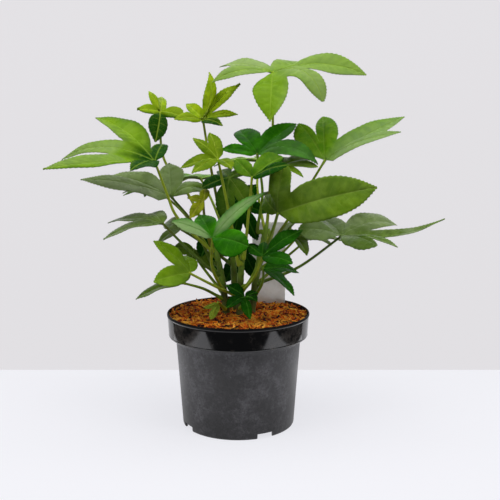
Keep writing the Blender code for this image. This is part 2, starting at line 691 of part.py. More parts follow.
def make_blade(name, leaf, collection):
    """The blade of a leaf, a grid to each lobe, joined along their shared edges."""
    blade = Blade(leaf)
    joint = Vector(leaf["joint"]) * MM
    bm = bmesh.new()
    for i in range(len(leaf["lobes"])):
        points = blade.grid(i, WEB_ROWS, FREE_ROWS, TOOTH)
        rows = len(points) - 1
        verts = bmesh.ops.create_grid(bm, x_segments=2, y_segments=rows, size=1)["verts"]
        for vertex in verts:
            column = round(1 - vertex.co.x)
            row = round((vertex.co.y + 1) / 2 * rows)
            vertex.co = Vector(points[row, column]) + joint
    bmesh.ops.remove_doubles(bm, verts=bm.verts, dist=0.00005)
    bmesh.ops.triangulate(bm, faces=bm.faces)
    mesh = bpy.data.meshes.new(name)
    bm.to_mesh(mesh)
    bm.free()
    obj = add_object(name, mesh, collection)
    solidify = obj.modifiers.new("thickness", "SOLIDIFY")
    solidify.thickness = BLADE
    solidify.offset = -1
    apply_modifiers(obj)
    return obj, blade


def make_leaf(name, leaf, collection, material):
    """A blade and its stalk in one solid. The stalk ends just clear of its cane."""
    obj, blade = make_blade(name, leaf, collection)
    joint = np.array(leaf["joint"]) * MM
    way = [np.array(p) * MM for p in leaf["way"]]
    centre, cane_radius, lean = cane_at(leaf["cane"], leaf["height"] * MM)
    aim = (way + [joint])[0] - centre
    outward = unit(np.array([aim[0], aim[1], 0]))
    rise = math.radians(STALK_RISE)
    back_off = STALK_RADIUS * (math.sin(rise) + 1.2 * max(0, np.dot(lean, outward)))
    start = centre + outward * (cane_radius + CLEARANCE + back_off)
    first = start + (outward * math.cos(rise) + np.array([0, 0, math.sin(rise)])) * 6 * MM
    end = joint - blade.normal * BLADE / 2
    path = [start] + smooth_path([first] + way + [end], STALK_STEPS) + [end + blade.forward * 2 * MM]
    radii = np.linspace(STALK_RADIUS, STALK_TIP_RADIUS, len(path))
    stalk = add_object(name + "_stalk", tube(name, path, radii, 1, collection), collection)
    union = obj.modifiers.new("stalk", "BOOLEAN")
    union.operation = "UNION"
    union.solver = "EXACT"
    union.object = stalk
    apply_modifiers(obj)
    bpy.data.objects.remove(stalk)
    obj.data.materials.append(material)
    obj.data.shade_smooth()
    obj.data.set_sharp_from_angle(angle=math.radians(40))
    return obj


def main():
    clear_scene()
    plant = new_collection("potted Japanese aralia")
    cutters = new_collection("cutters")
    make_pot(plant, cutters)
    make_soil(plant, cutters)
    make_label(plant)
    for name in CANES:
        make_cane(name, plant, principled(name + " bark", CANE_GREEN, 0.6))
    for name, leaf in LEAVES.items():
        colour = LEAF_YOUNG if name in YOUNG_LEAVES else LEAF_DARK
        make_leaf(name, leaf, plant, principled(name + " green", colour, 0.35))


main()
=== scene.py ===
import json
import math
import random
from functools import partial

import bmesh
import bpy
import numpy as np
from mathutils import Matrix, Vector, noise

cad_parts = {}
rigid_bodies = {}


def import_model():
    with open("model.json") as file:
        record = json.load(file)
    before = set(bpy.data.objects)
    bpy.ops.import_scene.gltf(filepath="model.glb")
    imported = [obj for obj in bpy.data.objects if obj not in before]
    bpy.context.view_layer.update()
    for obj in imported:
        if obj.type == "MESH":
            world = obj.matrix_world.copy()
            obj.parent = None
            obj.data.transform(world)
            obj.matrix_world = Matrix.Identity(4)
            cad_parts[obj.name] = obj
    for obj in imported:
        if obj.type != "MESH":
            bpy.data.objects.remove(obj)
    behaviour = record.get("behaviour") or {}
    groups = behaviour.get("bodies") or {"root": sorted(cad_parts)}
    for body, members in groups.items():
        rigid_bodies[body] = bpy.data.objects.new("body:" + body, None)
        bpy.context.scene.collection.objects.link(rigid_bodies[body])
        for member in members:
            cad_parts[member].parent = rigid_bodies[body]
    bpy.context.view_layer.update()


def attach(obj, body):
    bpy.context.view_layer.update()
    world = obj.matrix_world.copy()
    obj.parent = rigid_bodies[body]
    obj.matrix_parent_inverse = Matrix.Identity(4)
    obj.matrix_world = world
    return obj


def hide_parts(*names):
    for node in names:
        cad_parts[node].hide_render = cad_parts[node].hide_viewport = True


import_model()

mm = 0.001


def linear(hexColour):   # an sRGB hex value as the linear colour that the shaders take
    parts = [int(hexColour[k:k + 2], 16) / 255 for k in (1, 3, 5)]
    return tuple(c / 12.92 if c <= 0.04045 else ((c + 0.055) / 1.055) ** 2.4 for c in parts) + (1.0,)


def plug(node, links):   # what its sockets take, in their order or by name: values, outputs or nodes
    for socket, source in links.items() if isinstance(links, dict) else enumerate(links):
        if isinstance(source, bpy.types.Node):   # a node gives its main output
            source = next(output for output in source.outputs if output.enabled)
        if isinstance(source, bpy.types.NodeSocket):
            node.id_data.links.new(source, node.inputs[socket])
        else:
            node.inputs[socket].default_value = source


def addNode(tree, kind, links=(), stops=(), **settings):   # stops: a ramp's places with their hex or grey
    node = tree.nodes.new("ShaderNode" + kind)
    for key, value in settings.items():
        setattr(node, key, value)
    plug(node, links)
    elements = node.color_ramp.elements if stops else ()
    while len(elements) < len(stops):
        elements.new(0.5)
    for element, (place, colour) in zip(elements, stops):
        element.position = place
        element.color = linear(colour) if isinstance(colour, str) else (colour, colour, colour, 1)
    return node


def newMaterial(name):   # a Principled material, what adds a node to it, and its Object coordinates
    material = bpy.data.materials.new(name)
    material.use_nodes = True
    add = partial(addNode, material.node_tree)
    return material, add, add("TexCoord").outputs["Object"]


def finish(material, sockets):   # the last step of a material: what its shader's sockets take
    plug(material.node_tree.nodes["Principled BSDF"], sockets)
    return material


def addObject(name, data):
    obj = bpy.data.objects.new(name, data)
    bpy.context.scene.collection.objects.link(obj)
    return obj


def dress(obj, *materials):   # the object's materials, in the order of its material indices
    obj.data.materials.clear()
    for material in materials:
        obj.data.materials.append(material)


def deselectAll():
    if bpy.context.mode != "OBJECT":
        bpy.ops.object.mode_set(mode="OBJECT")
    bpy.ops.object.select_all(action="DESELECT")


def activate(obj):
    deselectAll()
    obj.select_set(True)
    bpy.context.view_layer.objects.active = obj
    return obj


def applyAll(obj):   # every modifier of the piece, in order
    activate(obj)
    for modifier in list(obj.modifiers):
        bpy.ops.object.modifier_apply(modifier=modifier.name)


def settle(obj):   # the piece's place goes into its mesh
    activate(obj)
    bpy.ops.object.transform_apply(location=True, rotation=True, scale=True)
    return obj


def editAll():   # edit mode, with all of the active mesh selected
    bpy.ops.object.mode_set(mode="EDIT")
    bpy.ops.mesh.select_all(action="SELECT")


def faceOut():   # all faces look outwards, and edit mode ends
    bpy.ops.mesh.select_all(action="SELECT")
    bpy.ops.mesh.normals_make_consistent(inside=False)
    bpy.ops.object.mode_set(mode="OBJECT")


def joined(objects, name):
    deselectAll()
    for obj in objects:
        obj.select_set(True)
    bpy.context.view_layer.objects.active = objects[0]
    if len(objects) > 1:
        bpy.ops.object.join()
    whole = bpy.context.view_layer.objects.active
    whole.name = name
    whole.data.name = name
    return whole


def seat(piece, slot, *nodes):   # the piece stands for its CAD nodes and rides with them
    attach(piece, "root")
    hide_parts(*nodes)


def unit(vector):
    return vector / np.linalg.norm(vector)


def smoothPath(points, steps):   # Catmull-Rom through the points
    pts = [np.array(p, float) for p in points]
    pts = [2 * pts[0] - pts[1]] + pts + [2 * pts[-1] - pts[-2]]
    path = []
    for a, b, c, d in zip(pts, pts[1:], pts[2:], pts[3:]):
        for k in range(steps):
            t = k / steps
            path.append(0.5 * (2 * b + (c - a) * t + (2 * a - 5 * b + 4 * c - d) * t ** 2
                               + (3 * b - a - 3 * c + d) * t ** 3))
    path.append(pts[-2])
    return path


def tube(name, path, radii, bevelResolution):   # a closed round bar with its own radius at each point
    curve = bpy.data.curves.new(name, "CURVE")
    curve.dimensions = "3D"
    curve.bevel_depth = 1.0
    curve.bevel_resolution = bevelResolution
    curve.use_fill_caps = True
    spline = curve.splines.new("POLY")
    spline.points.add(len(path) - 1)
    for point, place, radius in zip(spline.points, path, radii):
        point.co = (*place, 1)
        point.radius = radius
    obj = activate(addObject(name, curve))
    bpy.ops.object.convert(target="MESH")
    editAll()
    bpy.ops.mesh.remove_doubles(threshold=0.01 * mm)
    faceOut()
    bpy.ops.object.shade_smooth()
    return obj


# Camera, at the photograph's angle
cameraLook = {
    "place": (0.0157, -1.100, 0.416),
    "pitchDown": 9.34,
    "lens": 60.7,
}

cameraData = bpy.data.cameras.new("camera")
cameraData.lens = cameraLook["lens"]
camera = addObject("camera", cameraData)
camera.location = cameraLook["place"]
camera.rotation_euler = (math.radians(90 - cameraLook["pitchDown"]), 0, 0)
bpy.context.scene.camera = camera
bpy.context.scene.view_settings.view_transform = "Standard"

# Studio: a white sheet under and behind the plant, soft lamps above and in front
studioLook = {
    "floor": ("#7C7C7E", "#DCDCE1"),   # paint and glow
    "wall": ("#404042", "#DFDDE0"),
    "sheet": ("#000000", "#D8D8DC"),
    "flatPower": 2.2,
    "shadePower": 1.0,
    "shadeReach": (0.13, 0.30),
    "uprightPower": 1.0,
    "wallPlace": 0.225,
    "farEdge": 6.0,
    "sheetHalfWidth": 0.40,
    "sheetFront": -0.31,
    "sheetTop": 1.0,
    "sheetGap": 0.5 * mm,   # under the floor, and twice as much behind the wall
    "roomFill": 0.21,
    "roomReflected": 0.058,
    "roomSeen": 0.78,
    "roomWhite": "#F2F4F8",
}


def stagePlane(name, corners, colours, power=1.0, inReflections=False, shaded=False):
    # one-sided: clear from the back. A shaded one glows less near the pot
    mesh = bpy.data.meshes.new(name)
    mesh.from_pydata(corners, [], [(0, 1, 2, 3)])
    plane = addObject(name, mesh)
    material, add, place = newMaterial(name + " paint")
    if shaded:
        low, high = studioLook["shadeReach"]
        away = add("VectorMath", [place], operation="LENGTH")
        power = add("MapRange", [away, low, high, studioLook["shadePower"], power])
    paint, glow = colours
    finish(material, {"Base Color": linear(paint), "Roughness": 0.9, "Specular IOR Level": 0.0,
                      "Emission Color": linear(glow), "Emission Strength": power})
    nodes = material.node_tree.nodes
    behind = add("NewGeometry").outputs["Backfacing"]
    oneSided = add("MixShader", [behind, nodes["Principled BSDF"], add("BsdfTransparent")])
    plug(nodes["Material Output"], {"Surface": oneSided})
    dress(plane, material)
    plane.visible_camera = not inReflections
    plane.visible_glossy = inReflections
    plane.visible_diffuse = False
    plane.visible_transmission = not inReflections
    plane.visible_shadow = False
    return plane


def sheet(halfWidth, first, last):   # its corners, between two edges that are given by their y and z
    return [(-halfWidth, *first), (halfWidth, *first), (halfWidth, *last), (-halfWidth, *last)]


half, far, wallY = studioLook["sheetHalfWidth"], studioLook["farEdge"], studioLook["wallPlace"]
gap = studioLook["sheetGap"]
behindWall = wallY + 2 * gap
floor = stagePlane("floor", sheet(far, (-far, 0), (far, 0)), studioLook["floor"])
floor.visible_shadow = True
stagePlane("wall", sheet(far, (wallY, 0), (wallY, far)), studioLook["wall"])
# what the pot's gloss mirrors: a white sheet no wider than a table, swept up behind the plant
stagePlane("sheet_flat", sheet(half, (studioLook["sheetFront"], -gap), (wallY, -gap)),
           studioLook["sheet"], studioLook["flatPower"], inReflections=True, shaded=True)
stagePlane("sheet_upright", sheet(half, (behindWall, 0), (behindWall, studioLook["sheetTop"])),
           studioLook["sheet"], studioLook["uprightPower"], inReflections=True)

world = bpy.data.worlds.new("studio room")
bpy.context.scene.world = world
world.use_nodes = True
addToWorld = partial(addNode, world.node_tree)
rays = addToWorld("LightPath")
lit = addToWorld("MapRange", [rays.outputs["Is Glossy Ray"], 0, 1, studioLook["roomFill"],
                              studioLook["roomReflected"]])
seen = addToWorld("MapRange", [rays.outputs["Is Camera Ray"], 0, 1, lit, studioLook["roomSeen"]])
plug(world.node_tree.nodes["Background"], {"Color": linear(studioLook["roomWhite"]), "Strength": seen})

lampLook = {
    "overhead": dict(place=(0.0, -0.15, 1.7), size=(1.5, 1.2), watts=20.0, aim=(0, 0, 0.2), inGloss=False),
    "left": dict(place=(-1.5, -1.0, 1.0), size=(0.9, 1.1), watts=7.5, aim=(0, 0, 0.25), inGloss=True),
    "right": dict(place=(1.5, -1.0, 1.1), size=(0.9, 1.1), watts=8.0, aim=(0, 0, 0.25), inGloss=True),
}
for lampName, lamp in lampLook.items():
    light = bpy.data.lights.new(lampName, "AREA")
    light.shape = "RECTANGLE"
    light.size, light.size_y = lamp["size"]
    light.energy = lamp["watts"]
    lampObject = addObject(lampName, light)
    lampObject.location = lamp["place"]
    way = Vector(lamp["aim"]) - Vector(lamp["place"])
    lampObject.rotation_euler = way.to_track_quat("-Z", "Y").to_euler()
    lampObject.visible_glossy = lamp["inGloss"]
print("studio ready")

# Pot: thermoformed black polypropylene, high gloss on the collar, dull and dusty on the body
potLook = {
    "height": 152 * mm,
    "rimRadius": 95 * mm,
    "collarFootRadius": 93 * mm,
    "collarHeight": 31 * mm,
    "neckRadius": 83.5 * mm,
    "baseRadius": 75 * mm,
    "wall": 1.8 * mm,
    "channelHeight": 8 * mm,
    "channelInner": 52 * mm,
    "footWidth": 3.5 * mm,
    "sides": 144,
    "smoothAngle": 38,
    "innerStep": 2.5 * mm,
    "notches": 4,
    "notchAngle": 28.5,
    "notchSize": (8 * mm, 23 * mm, 14 * mm),
    "notchRounding": 1.2 * mm,
    "drains": 8,
    "drainRadius": 5 * mm,
    "drainDepth": 8 * mm,
    "drainSides": 40,
    "black": "#0C0C0E",
    "smear": "#4C4642",
    "lip": "#141416",
    "lipDepth": 3.0 * mm,
    "bare": "#222123",
    "dullGrey": "#38373A",
    "dust": "#6C6B6F",
}


def bodyMaterial():
    # Black polypropylene that took the dull face of a sprayed mould, with dust clinging to it, in blots
    # about 33 mm across, a mottling of 6 mm and specks of 2.4 mm
    material, add, place = newMaterial("dull black polypropylene")
    blots = add("TexNoise", {"Vector": place, "Scale": 30, "Detail": 7, "Roughness": 0.7})
    mottle = add("TexNoise", {"Vector": place, "Scale": 170, "Detail": 5, "Roughness": 0.7})
    speckle = add("TexNoise", {"Vector": place, "Scale": 420, "Detail": 3})
    height = add("SeparateXYZ", [place]).outputs[2]
    dust = add("Math", [height, 0.5, -0.03], operation="MULTIPLY_ADD")   # lighter higher up
    dust = add("Math", [mottle, 0.35, dust], operation="MULTIPLY_ADD")
    dust = add("Math", [blots, 0.65, dust], operation="MULTIPLY_ADD")
    dull = add("ValToRGB", [dust],
               [(0.40, potLook["bare"]), (0.50, potLook["dullGrey"]), (0.63, potLook["dust"])])
    specks = add("ValToRGB", [speckle], [(0.34, 0.4), (0.44, 0.9), (0.60, 1.0), (0.72, 1.6)])
    colour = add("Mix", {0: 0.9, 6: dull, 7: specks}, data_type="RGBA", blend_type="MULTIPLY")
    rough = add("MapRange", [dust, 0.35, 0.7, 0.36, 0.56])
    grain = add("Bump", {"Height": speckle, "Strength": 0.12, "Distance": 0.3 * mm})
    calm = add("Bump", {"Height": blots, "Strength": 0.05, "Distance": 1.0 * mm, "Normal": grain})
    return finish(material, {"Base Color": colour, "Roughness": rough, "Normal": calm, "IOR": 1.49,
                             "Specular IOR Level": 0.6, "Sheen Weight": 0.12, "Sheen Roughness": 0.4})


def collarMaterial():
    # Polished black polypropylene, with faint brown smears of potting dust, about 17 mm across, and a
    # painted
    # reflection: the colour turns lighter towards the left and right sides (in x), where the gloss grazes
    material, add, place = newMaterial("glossy black polypropylene")
    smears = add("TexNoise", {"Vector": place, "Scale": 60, "Detail": 6, "Roughness": 0.7})
    # painted reflection: lighter towards the left and right sides (in x), where the gloss is seen at a
    # grazing angle
    across = add("Math", [add("SeparateXYZ", [place]).outputs[0]], operation="ABSOLUTE")
    paintedSideSheen = add("MapRange", [across, 0.035, 0.075, -0.1, 0.12])
    smearsAndSideSheen = add("Math", [smears, paintedSideSheen], operation="ADD")
    colour = add("ValToRGB", [smearsAndSideSheen], [(0.46, potLook["black"]), (0.70, potLook["smear"])])
    smudge = add("MapRange", [smears, 0.4, 0.7, 0.05, 0.13])
    return finish(material, {"Base Color": colour, "Roughness": smudge, "IOR": 1.49,
                             "Specular IOR Level": 0.62})


def lipMaterial():
    # The lip, scuffed dull by stacking and handling
    return finish(newMaterial("scuffed black polypropylene")[0], {
        "Base Color": linear(potLook["lip"]), "Roughness": 0.5, "IOR": 1.49, "Specular IOR Level": 0.15})


def bodyRadius(z):   # the body widens evenly from its base to the neck under the collar
    look = potLook
    neckHeight = look["height"] - look["collarHeight"]
    return look["baseRadius"] + (look["neckRadius"] - look["baseRadius"]) * z / neckHeight


def raiseShell(name, profile, sides):   # a disc's edge drawn out ring by ring through (radius, height)
    deselectAll()
    radius, height = profile[0]
    place = (0, 0, height)
    bpy.ops.mesh.primitive_circle_add(vertices=sides, radius=radius, fill_type="NGON", location=place)
    shell = bpy.context.active_object
    shell.name = name
    bpy.ops.object.mode_set(mode="EDIT")
    bpy.ops.mesh.select_mode(type="EDGE")
    bpy.ops.mesh.select_all(action="SELECT")
    bpy.ops.mesh.region_to_loop()
    for newRadius, newHeight in profile[1:]:
        move = {"value": (0, 0, newHeight - height)}
        bpy.ops.mesh.extrude_edges_move(TRANSFORM_OT_translate=move)
        size = newRadius / radius
        bpy.ops.transform.resize(value=(size, size, 1), center_override=(0, 0, newHeight))
        radius, height = newRadius, newHeight
    bpy.ops.mesh.edge_face_add()
    faceOut()
    return settle(shell)


def potProfile():   # (radius, height): out under the floor, up the outside, over the rim, down the inside
    look = potLook
    wall, step, top = look["wall"], look["innerStep"], look["height"]
    foot = top - look["collarHeight"]   # of the collar
    inner, channel = look["channelInner"], look["channelHeight"]
    base, neck = look["baseRadius"], look["neckRadius"]
    collar, rim = look["collarFootRadius"], look["rimRadius"]
    outer = base - look["footWidth"]
    inside = channel + wall
    return [
        # the channel under the floor, and the foot ring
        (inner - wall, 0), (inner + wall, channel), (outer, channel),
        (outer, 0.3 * mm), (outer + 0.3 * mm, 0), (base - 1.6 * mm, 0), (base - 0.5 * mm, 0.6 * mm),
        # the body
        *((bodyRadius(z), z) for z in (2 * mm, 3 * mm, foot / 2, foot - 7 * mm, foot - 6 * mm)),
        # the rounded step out to the collar
        (neck + 0.5 * mm, foot - 2.2 * mm), (neck + 2.0 * mm, foot - 0.6 * mm),
        (collar - 2.2 * mm, foot - 0.2 * mm), (collar - 0.7 * mm, foot + 0.3 * mm),
        # the collar
        (collar, foot + 1.8 * mm), (collar - 0.15 * mm, foot + 2.6 * mm),
        (collar - 0.10 * mm, foot + 3.4 * mm), (collar + 1.15 * mm, top - 6.0 * mm),
        (collar + 1.2 * mm, top - 5.2 * mm), (collar + 1.1 * mm, top - 4.4 * mm),
        # the lip
        (rim - 0.1 * mm, top - 3.2 * mm), (rim, top - 1.4 * mm), (rim - 0.4 * mm, top - 0.4 * mm),
        (rim - 1.1 * mm, top), (rim - wall, top - 0.3 * mm),
        # the inside, down to the floor
        (collar - wall, foot + 2 * step), (neck - wall, foot - step), (bodyRadius(inside) - wall, inside),
        (inner, inside), (inner - 3 * mm, wall),
    ]


def potCutters():   # what cuts the notches in the foot ring and the drain holes in the channel
    look = potLook
    cutters = []
    channelOuter = look["baseRadius"] - look["footWidth"]
    ring = look["baseRadius"] - look["footWidth"] / 2
    for k in range(look["notches"]):
        angle = math.radians(look["notchAngle"] - 90 + 360 / look["notches"] * k)
        place = (ring * math.cos(angle), ring * math.sin(angle), 0)
        bpy.ops.mesh.primitive_cube_add(size=1, location=place, rotation=(0, 0, angle))
        cutter = bpy.context.active_object
        cutter.scale = look["notchSize"]
        bevel = cutter.modifiers.new("round", "BEVEL")
        bevel.width = look["notchRounding"]
        bevel.segments = 3
        cutters.append(cutter)
    ring = (look["channelInner"] + channelOuter) / 2 + look["wall"] / 2
    for k in range(look["drains"]):
        angle = math.radians(look["notchAngle"] - 90 + 360 / look["drains"] * k)
        place = (ring * math.cos(angle), ring * math.sin(angle), look["channelHeight"])
        bpy.ops.mesh.primitive_cylinder_add(vertices=look["drainSides"], radius=look["drainRadius"],
                                            depth=look["drainDepth"], location=place)
        cutters.append(bpy.context.active_object)
    return cutters


def makePot():
    look = potLook
    pot = raiseShell("pot_shell", potProfile(), look["sides"])
    cutters = potCutters()
    for cutter in cutters:
        boolean = pot.modifiers.new("cut", "BOOLEAN")
        boolean.operation = "DIFFERENCE"
        boolean.solver = "EXACT"
        boolean.object = cutter
    applyAll(pot)
    for cutter in cutters:
        bpy.data.objects.remove(cutter)
    activate(pot)
    bpy.ops.object.shade_smooth_by_angle(angle=math.radians(look["smoothAngle"]))
    dress(pot, bodyMaterial(), collarMaterial(), lipMaterial())
    lipFoot, collarFoot = look["height"] - look["lipDepth"], look["height"] - look["collarHeight"]
    for face in pot.data.polygons:
        face.material_index = (face.center.z > collarFoot) + (face.center.z > lipFoot)   # body, collar, lip
    seat(pot, "pot_plastic", "pot")


makePot()
print("pot ready")

# Canes: green stems going woody from the foot up, with rings where old leaves have dropped; the browner
# foot is partly painted shade, low in the plant
canes = {
    "cane_front": [(2, -14, 152), (3, -15, 190), (6, -18, 236)],
    "cane_right": [(18, 0, 152), (24, 0, 200), (36, -2, 262)],
    "cane_left": [(-16, -2, 152), (-22, -2, 200), (-34, 2, 252)],
    "cane_back": [(-4, 16, 152), (-6, 20, 200), (-10, 28, 262)],
    "cane_back_right": [(18, 22, 152), (26, 28, 200), (40, 40, 250)],
}
caneLook = {
    "radius": 4.8 * mm,
    "topRadius": 3.4 * mm,
    "foot": 118 * mm,
    "steps": 22,
    "roundness": 5,
    "ringPitch": 9 * mm,
    "ringHeight": 0.55 * mm,
    "ringSharpness": 8,
    "budLength": 9 * mm,
    "budTaper": ((0.35, 0.95), (0.7, 0.66), (0.9, 0.34), (1.0, 0.1)),   # shares of length and width
    "bark": "#566222",
    "green": "#84A82C",
}


def caneAxis(name):
    return [p * mm for p in smoothPath(canes[name], caneLook["steps"])]


def caneRadius(axis, height):   # it tapers evenly to its top
    low, high = axis[0][2], axis[-1][2]
    return caneLook["radius"] + (caneLook["topRadius"] - caneLook["radius"]) * (height - low) / (high - low)


def caneAt(name, height):   # centre, radius and lean of a cane at a height
    axis = caneAxis(name)
    for a, b in zip(axis, axis[1:]):
        if a[2] <= height <= b[2]:
            break
    part = (height - a[2]) / (b[2] - a[2])
    return a + (b - a) * part, caneRadius(axis, height), (b - a) / (b[2] - a[2])


def caneMaterial():
    # Young Fatsia stem: smooth grey-green bark with corky specks about 4 mm across, browner towards the
    # foot in patches of 17 mm, partly woody bark and partly painted shade low in the plant
    material, add, place = newMaterial("green bark")
    flat = add("Mapping", {0: place, "Scale": (1, 1, 0.35)})
    cork = add("TexNoise", {"Vector": flat, "Scale": 240, "Detail": 5})
    patch = add("TexNoise", {"Vector": place, "Scale": 60, "Detail": 3})
    height = add("SeparateXYZ", [place]).outputs[2]
    # browner towards the foot: partly woody bark, partly painted shade low in the plant
    green = add("MapRange", [height, 0.16, 0.24, -0.5, 0.5])
    share = add("Math", [green, patch], operation="ADD")
    base = add("ValToRGB", [share], [(0.15, caneLook["bark"]), (0.85, caneLook["green"])])
    specks = add("ValToRGB", [cork], [(0.36, 0.45), (0.52, 1.0)])
    colour = add("Mix", {0: 0.65, 6: base, 7: specks}, data_type="RGBA", blend_type="MULTIPLY")
    bump = add("Bump", {"Height": cork, "Strength": 0.5, "Distance": 0.4 * mm})
    return finish(material, {"Base Color": colour, "Roughness": 0.6, "Normal": bump})


barkMaterial = caneMaterial()


def makeCane(name):
    look = caneLook
    axis = caneAxis(name)
    path = [np.array([axis[0][0], axis[0][1], look["foot"]])] + axis
    radii = [look["radius"]]
    for point in axis:
        ring = math.cos(math.pi * (point[2] - axis[0][2]) / look["ringPitch"]) ** look["ringSharpness"]
        radii.append(caneRadius(axis, point[2]) + look["ringHeight"] * ring)
    lean = unit(axis[-1] - axis[-2])
    for part, size in look["budTaper"]:
        path.append(axis[-1] + lean * look["budLength"] * part)
        radii.append(look["topRadius"] * size)
    cane = tube(name + "_stem", path, radii, look["roundness"])
    dress(cane, barkMaterial)
    seat(cane, "cane_bark", name)


for caneName in canes:
    makeCane(caneName)
print("canes ready")


# Leaves, in the places of the plant's solids, in mm: the cane, how high on it the stalk starts, the
# stalk's way, the joint where the lobes meet, the half width of its lobes as a share of their length, the
# tone, and the lobes' tips, seen from the joint. What a lobe says for itself comes before its leaf's
def leafOn(cane, height, way, joint, width, tone, lobes, **shape):
    return dict(cane=cane, height=height, way=way, joint=joint, width=width, tone=tone, lobes=lobes,
                **shape)


def lobe(x, y, z, **shape):
    return dict(tip=(x, y, z), **shape)


def fan(heading, length, count, droop, step=46):   # evenly spread lobes, in degrees and mm
    lobes = []
    for k in range(count):
        turn = k - (count - 1) / 2
        angle = math.radians(heading + step * turn)
        reach = length * (1 - 0.1 * abs(turn))
        lobes.append(lobe(reach * math.cos(angle), reach * math.sin(angle), -droop * reach))
    return lobes
